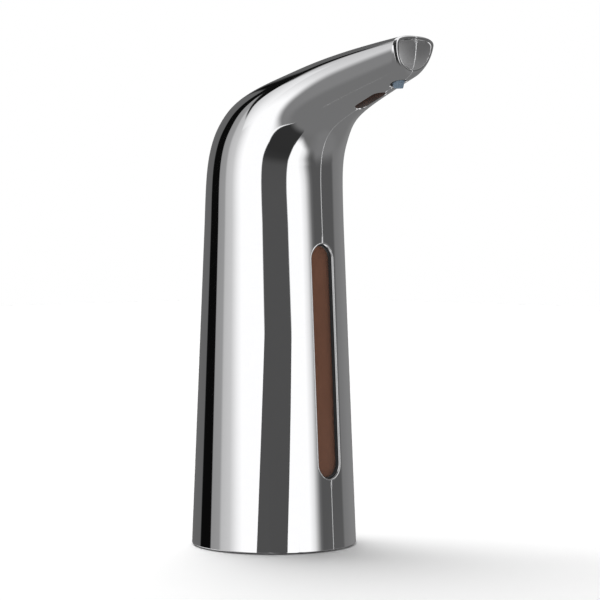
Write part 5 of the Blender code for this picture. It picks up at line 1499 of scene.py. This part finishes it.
@dataclass(frozen=True)
class Studio:
    """The floor, the soft lamp and the panels that the plating reflects."""

    floor_size: float = 6.0
    floor_roughness: float = 0.9
    lamp_angle: float = 60.0
    lamp_energy: float = 2.6
    lamp_place: tuple[float, float, float] = (-0.35, 1.0, -0.6)
    even_light: float = 0.36
    shine: float = 1.2

    def floor(self) -> None:
        """A white floor that keeps the object's shadow."""
        bpy.ops.mesh.primitive_plane_add(size=self.floor_size)
        floor = begin("floor")
        material, tree, shader = new_material("pale_floor")
        tree.feed(shader, {"Base Color": (1.0, 1.0, 1.0, 1), "Roughness": self.floor_roughness,
                           "Specular IOR Level": 0.0})
        floor.data.materials.append(material)
        floor.visible_glossy = False

    def lamps(self) -> None:
        """A broad soft light from above and behind, the same over the whole floor."""
        data = bpy.data.lights.new("key_lamp", "SUN")
        data.angle = math.radians(self.lamp_angle)
        data.energy = self.lamp_energy
        lamp = bpy.data.objects.new("key_lamp", data)
        bpy.context.collection.objects.link(lamp)
        place = sum((axis * share for axis, share in zip(Photo().axes(), self.lamp_place)), Vector())
        lamp.rotation_euler = place.to_track_quat("Z", "Y").to_euler()
        lamp.visible_glossy = False

    def world(self) -> None:
        """White behind the object, and light and dark panels round it for its plating."""
        world = bpy.data.worlds.new("studio")
        bpy.context.scene.world = world
        world.use_nodes = True
        world.node_tree.nodes.clear()
        tree = Tree(world.node_tree)
        white = (1, 1, 1, 1)
        rays = tree.add("LightPath").node.outputs
        even = tree.add("Background", {"Color": white, "Strength": self.even_light})
        backdrop = tree.add("Background", {"Color": white, "Strength": 1.0})
        shine = tree.add("Background", {"Color": Panels(tree).build(), "Strength": self.shine})
        plated = tree.add("MixShader", {0: rays["Is Glossy Ray"], 1: even, 2: shine})
        seen = tree.math("MAXIMUM", rays["Is Camera Ray"], rays["Is Transmission Ray"])
        final = tree.add("MixShader", {0: seen, 1: plated, 2: backdrop})
        tree.feed(world.node_tree.nodes.new("ShaderNodeOutputWorld"), {"Surface": final})


@dataclass(frozen=True)
class Card:
    """A wedge-shaped card close in front of the column, seen only in its plating.

    Its turns are those in which the plating shows it, in degrees to the right of the camera.
    Its reach is its distance from the column's axis, which grows by its lean for each degree.
    """

    name: str
    tone: float
    straight: float
    marks: tuple[tuple[float, float], ...]
    reach: float
    lean: float
    columns: int = 5

    def place(self, height: float, turn: float) -> Vector:
        """Where a turn is met by what the plating at this height reflects."""
        share = (height - FORM.foot_gap) / (FORM.neck_height - FORM.foot_gap)
        radius = float(FORM.width(np.array(share - 1)))
        right, up, towards = Photo().axes()
        half, whole = math.radians(turn / 2), math.radians(turn)
        start = (right * math.sin(half) + towards * math.cos(half)) * radius
        look = right * math.sin(whole) + towards * math.cos(whole)
        near = start.dot(look)
        reach = self.reach + (self.straight - turn) * self.lean
        start += look * (math.sqrt(near**2 + reach**2 - radius**2) - near)
        return start + up * height + Vector((FORM.middle_x, 0, 0))

    def build(self) -> None:
        """Makes the card."""
        steps = [k / (self.columns - 1) for k in range(self.columns)]
        points = [self.place(height, turn + (self.straight - turn) * step)
                  for height, turn in self.marks for step in steps]
        card = new_mesh(self.name, np.array(points), grid_faces(len(self.marks), self.columns))
        material, tree, shader = new_material(self.name)
        tree.feed(shader, {"Base Color": (0, 0, 0, 1), "Specular IOR Level": 0.0,
                           "Emission Color": (1, 1, 1, 1), "Emission Strength": self.tone * Studio.shine})
        card.data.materials.append(material)
        card.visible_camera = card.visible_diffuse = False
        card.visible_shadow = card.visible_transmission = False


DARK_MARKS = ((-0.01, -25), (0.0075, -23), (0.037, -20), (0.073, -16), (0.108, -12), (0.143, -8),
              (0.148, -7.5))
PALE_MARKS = ((-0.01, 17.5), (0.0075, 19), (0.037, 22.5), (0.073, 26.5), (0.108, 30), (0.143, 32.7),
              (0.148, 33))
CARDS = (
    Card("dark_card", 0.073, -6.5, DARK_MARKS, 0.052, 0.0),
    Card("pale_card", 1.0, 34.5, PALE_MARKS, 0.0455, 0.00038),
    Card("pale_card_back", 0.165, 34.5, PALE_MARKS, 0.04558, 0.00038),
)


@dataclass(frozen=True)
class Panels:
    """Light and dark panels round the object, by the direction in which they are seen.

    A direction is a turn from the photograph's camera, to the right, and a rise over the
    horizon, both in degrees. Lists of stops pair an angle with a value, and the other pairs
    are where something starts and is complete.
    """

    tree: Tree
    round_bands: tuple = (
        (-180, 0.12), (-127, 0.12), (-126, 0.003), (-101, 0.003), (-100, 0.27), (-84, 0.30), (-80, 0.48),
        (-66, 0.56), (-54, 0.85), (-46, 1.0), (-8.3, 1.0), (-7.7, 0.0), (32.7, 0.0), (33.3, 1.0),
        (48, 1.0), (56, 0.75), (62, 0.33), (66, 0.13), (70, 0.085), (110, 0.085), (115, 0.17),
        (140, 0.2), (165, 0.2), (180, 0.12))
    slot_marks: tuple = ((-180, 0.0), (-8.3, 0.0), (-7.7, 1.0), (32.7, 1.0), (33.3, 0.0), (180, 0.0))
    slot_tone: tuple = ((-90, 0.03), (-20, 0.026), (-12, 0.032), (-5, 0.07), (4, 0.075), (90, 0.075))
    slant: tuple = ((-180, 0.0), (-125, 0.4), (-100, 0.5), (-20, 0.55), (-8, 0.55), (33, 1.0), (110, 1.0),
                    (140, 0.3), (180, 0.0))
    most_slant: float = 27.0
    slant_rise: tuple = ((-90, 27), (-57, 27), (-50, 22), (-40, 16), (-30, 10), (-20, 6.5), (-10, 2.5),
                         (-4, 1.5), (4, 0), (90, 0))
    most_lean: float = 7.0
    front_lean: tuple = ((-90, 0), (-12, 0), (-6, 2.5), (-4, 2), (0, 4.5), (4, 7), (90, 7))
    lean_turn: tuple[float, float] = (37, 50)
    lowest_floor: float = -60.0
    floor_line: tuple = (
        (-180, -20), (-66, -16), (-60, -15), (-50, -20), (-40, -25), (-30, -28), (-10, -32), (-8.4, -56),
        (33, -56), (33.6, -42), (42, -40), (50, -33), (60, -24), (71, -17), (78, -9), (112, -9),
        (120, -12), (180, -12))
    floor_fade: tuple[float, float] = (-9, 7)
    under: tuple = (
        (-180, 0.8), (-150, 0.95), (-110, 0.75), (-80, 0.21), (-60, 0.21), (-10, 0.19), (20, 0.135),
        (60, 0.15), (80, 0.18), (110, 0.18), (130, 0.16), (180, 0.16))
    bottom_tone: float = 0.16
    bottom_rise: tuple[float, float] = (-60, -44)
    arc_middle: float = -120.0
    arc_size: tuple[float, float] = (54.0, 41.0)
    arc_tone: float = 0.004
    arc_edge: tuple[float, float] = (0.955, 0.985)
    arc_rise: tuple[float, float] = (13, 24)
    arc_reach: tuple = (
        (-180, 0.02), (-102, 0.02), (-92, 0.1), (-88, 0.12), (-80, 0.07), (-76, 0.02), (180, 0.02))
    spout_side: tuple = (
        (-180, 0.11), (-97, 0.11), (-92, 0.3), (-84, 0.58), (-70, 0.66), (-58, 0.85), (-46, 1.0),
        (180, 1.0))
    spout_side_edge: tuple[float, float] = (0.99, 1.02)
    spout_side_rise: tuple[float, float] = (3, 6)
    spout_side_end: tuple[float, float] = (-47, -41)
    right_tone: float = 0.75
    right_turn: tuple[float, float] = (-50, -40)
    right_rise: tuple[float, float] = (30, 50)
    top_tone: float = 0.92
    top_rise: tuple[float, float] = (50, 66)

    def ramp(self, socket: Socket, stops: tuple, low: float = 0.0, high: float = 1.0) -> Socket:
        """Reads a value off a list of stops.

        Args:
            socket: The angle in degrees, from -180 to 180.
            stops: Pairs of an angle and a value.
            low: The least value in the list.
            high: The greatest value in the list.

        Returns:
            The socket of the value.
        """
        spread = self.tree.add("MapRange", {"From Min": -180, "From Max": 180, "Value": socket}, "Result")
        ramp = self.tree.add("ValToRGB", {0: spread}, "Color")
        elements = ramp.node.color_ramp.elements
        for k, (angle, value) in enumerate(stops):
            place = (angle + 180) / 360
            stop = elements[k] if k < 2 else elements.new(place)
            stop.position = place
            share = (value - low) / (high - low)
            stop.color = (share, share, share, 1)
        if (low, high) == (0.0, 1.0):
            return ramp
        return self.tree.math("MULTIPLY_ADD", ramp, high - low, low)

    def along(self, direction: Socket, axis: Vector) -> Socket:
        """How far a direction goes along an axis."""
        return self.tree.add("VectorMath", {0: direction, 1: axis}, "Value", operation="DOT_PRODUCT")

    def mask(self, socket: Socket, start: float, end: float) -> Socket:
        """Goes from 0 to 1 while the value goes from its start to its end."""
        limits = {"From Min": start, "From Max": end, "Value": socket}
        return self.tree.add("MapRange", limits, "Result", interpolation_type="SMOOTHSTEP")

    def mix(self, share: Socket, first: object, second: object) -> Socket:
        """The first value where the share is 0, and the second where it is 1."""
        return self.tree.add("Mix", {"Factor": share, "A": first, "B": second}, "Result")

    def build(self) -> Socket:
        """Lays the panels out.

        Returns:
            The socket that gives the panels' lightness.
        """
        math_node = self.tree.math
        direction = self.tree.add("TexCoord", output="Generated")
        aside, up, ahead = (self.along(direction, axis) for axis in Photo().axes())
        turn = math_node("DEGREES", math_node("ARCTAN2", aside, ahead))
        rise = math_node("DEGREES", math_node("ARCSINE", up))
        steep = self.ramp(rise, self.slant_rise, 0, self.most_slant)
        slant = math_node("MULTIPLY", self.ramp(turn, self.slant), steep)
        lean = self.ramp(rise, self.front_lean, 0, self.most_lean)
        aslant = math_node("MULTIPLY", self.mask(turn, *self.lean_turn), lean)
        leaning = math_node("SUBTRACT", math_node("SUBTRACT", turn, slant), aslant)
        slot = self.ramp(leaning, self.slot_marks)
        bands = self.mix(slot, self.ramp(leaning, self.round_bands), self.ramp(rise, self.slot_tone))
        over = math_node("SUBTRACT", rise, self.ramp(leaning, self.floor_line, self.lowest_floor, 0))
        bottom = self.mask(rise, *self.bottom_rise)
        lower = self.mix(bottom, self.bottom_tone, self.ramp(leaning, self.under))
        return self.upper(self.mix(self.mask(over, *self.floor_fade), lower, bands), turn, rise)

    def upper(self, scene: Socket, turn: Socket, rise: Socket) -> Socket:
        """Adds what is over the horizon: the black arc, the panel beyond it and the light above."""
        math_node = self.tree.math
        wide = math_node("DIVIDE", math_node("SUBTRACT", turn, self.arc_middle), self.arc_size[0])
        tall = math_node("DIVIDE", rise, self.arc_size[1])
        squares = math_node("ADD", math_node("MULTIPLY", wide, wide), math_node("MULTIPLY", tall, tall))
        arc = math_node("SQRT", squares)
        left = math_node("SUBTRACT", 1.0, self.mask(turn, *self.spout_side_end))
        above = math_node("MULTIPLY", self.mask(rise, *self.spout_side_rise), left)
        outer = math_node("SUBTRACT", arc, self.ramp(turn, self.arc_reach))
        beyond = math_node("MULTIPLY", self.mask(outer, *self.spout_side_edge), above)
        high = math_node("MULTIPLY", above, self.mask(rise, *self.arc_rise))
        band = math_node("MULTIPLY", self.mask(arc, *self.arc_edge), high)
        low = self.mask(rise, *self.right_rise)
        right = math_node("MULTIPLY", self.mask(turn, *self.right_turn), low)
        scene = self.mix(band, scene, self.arc_tone)
        scene = self.mix(beyond, scene, self.ramp(turn, self.spout_side))
        scene = self.mix(right, scene, self.right_tone)
        return self.mix(self.mask(rise, *self.top_rise), scene, self.top_tone)


def main() -> None:
    """Builds the camera, the studio, the half shells, every sub-assembly and the cards."""
    logging.basicConfig(level=logging.INFO, format="%(message)s")
    select_only()
    bpy.context.scene.view_settings.view_transform = "Standard"
    materials = {slot: finish.make() for slot, finish in FINISHES.items()}
    dress_nodes(materials)
    Photo().build()
    studio = Studio()
    studio.floor()
    studio.lamps()
    studio.world()
    for side in Side:
        shell = Shell(side).build()
        shell.data.materials.append(materials["chrome"])
    for assembly in (FillLid, PowerButton, SpoutFace, Windows, Nozzle, Foot):
        assembly(materials).build()
    for obj in bpy.data.objects:
        obj.visible_glossy = False
    for card in CARDS:
        card.build()


if __name__ == "__main__":
    main()
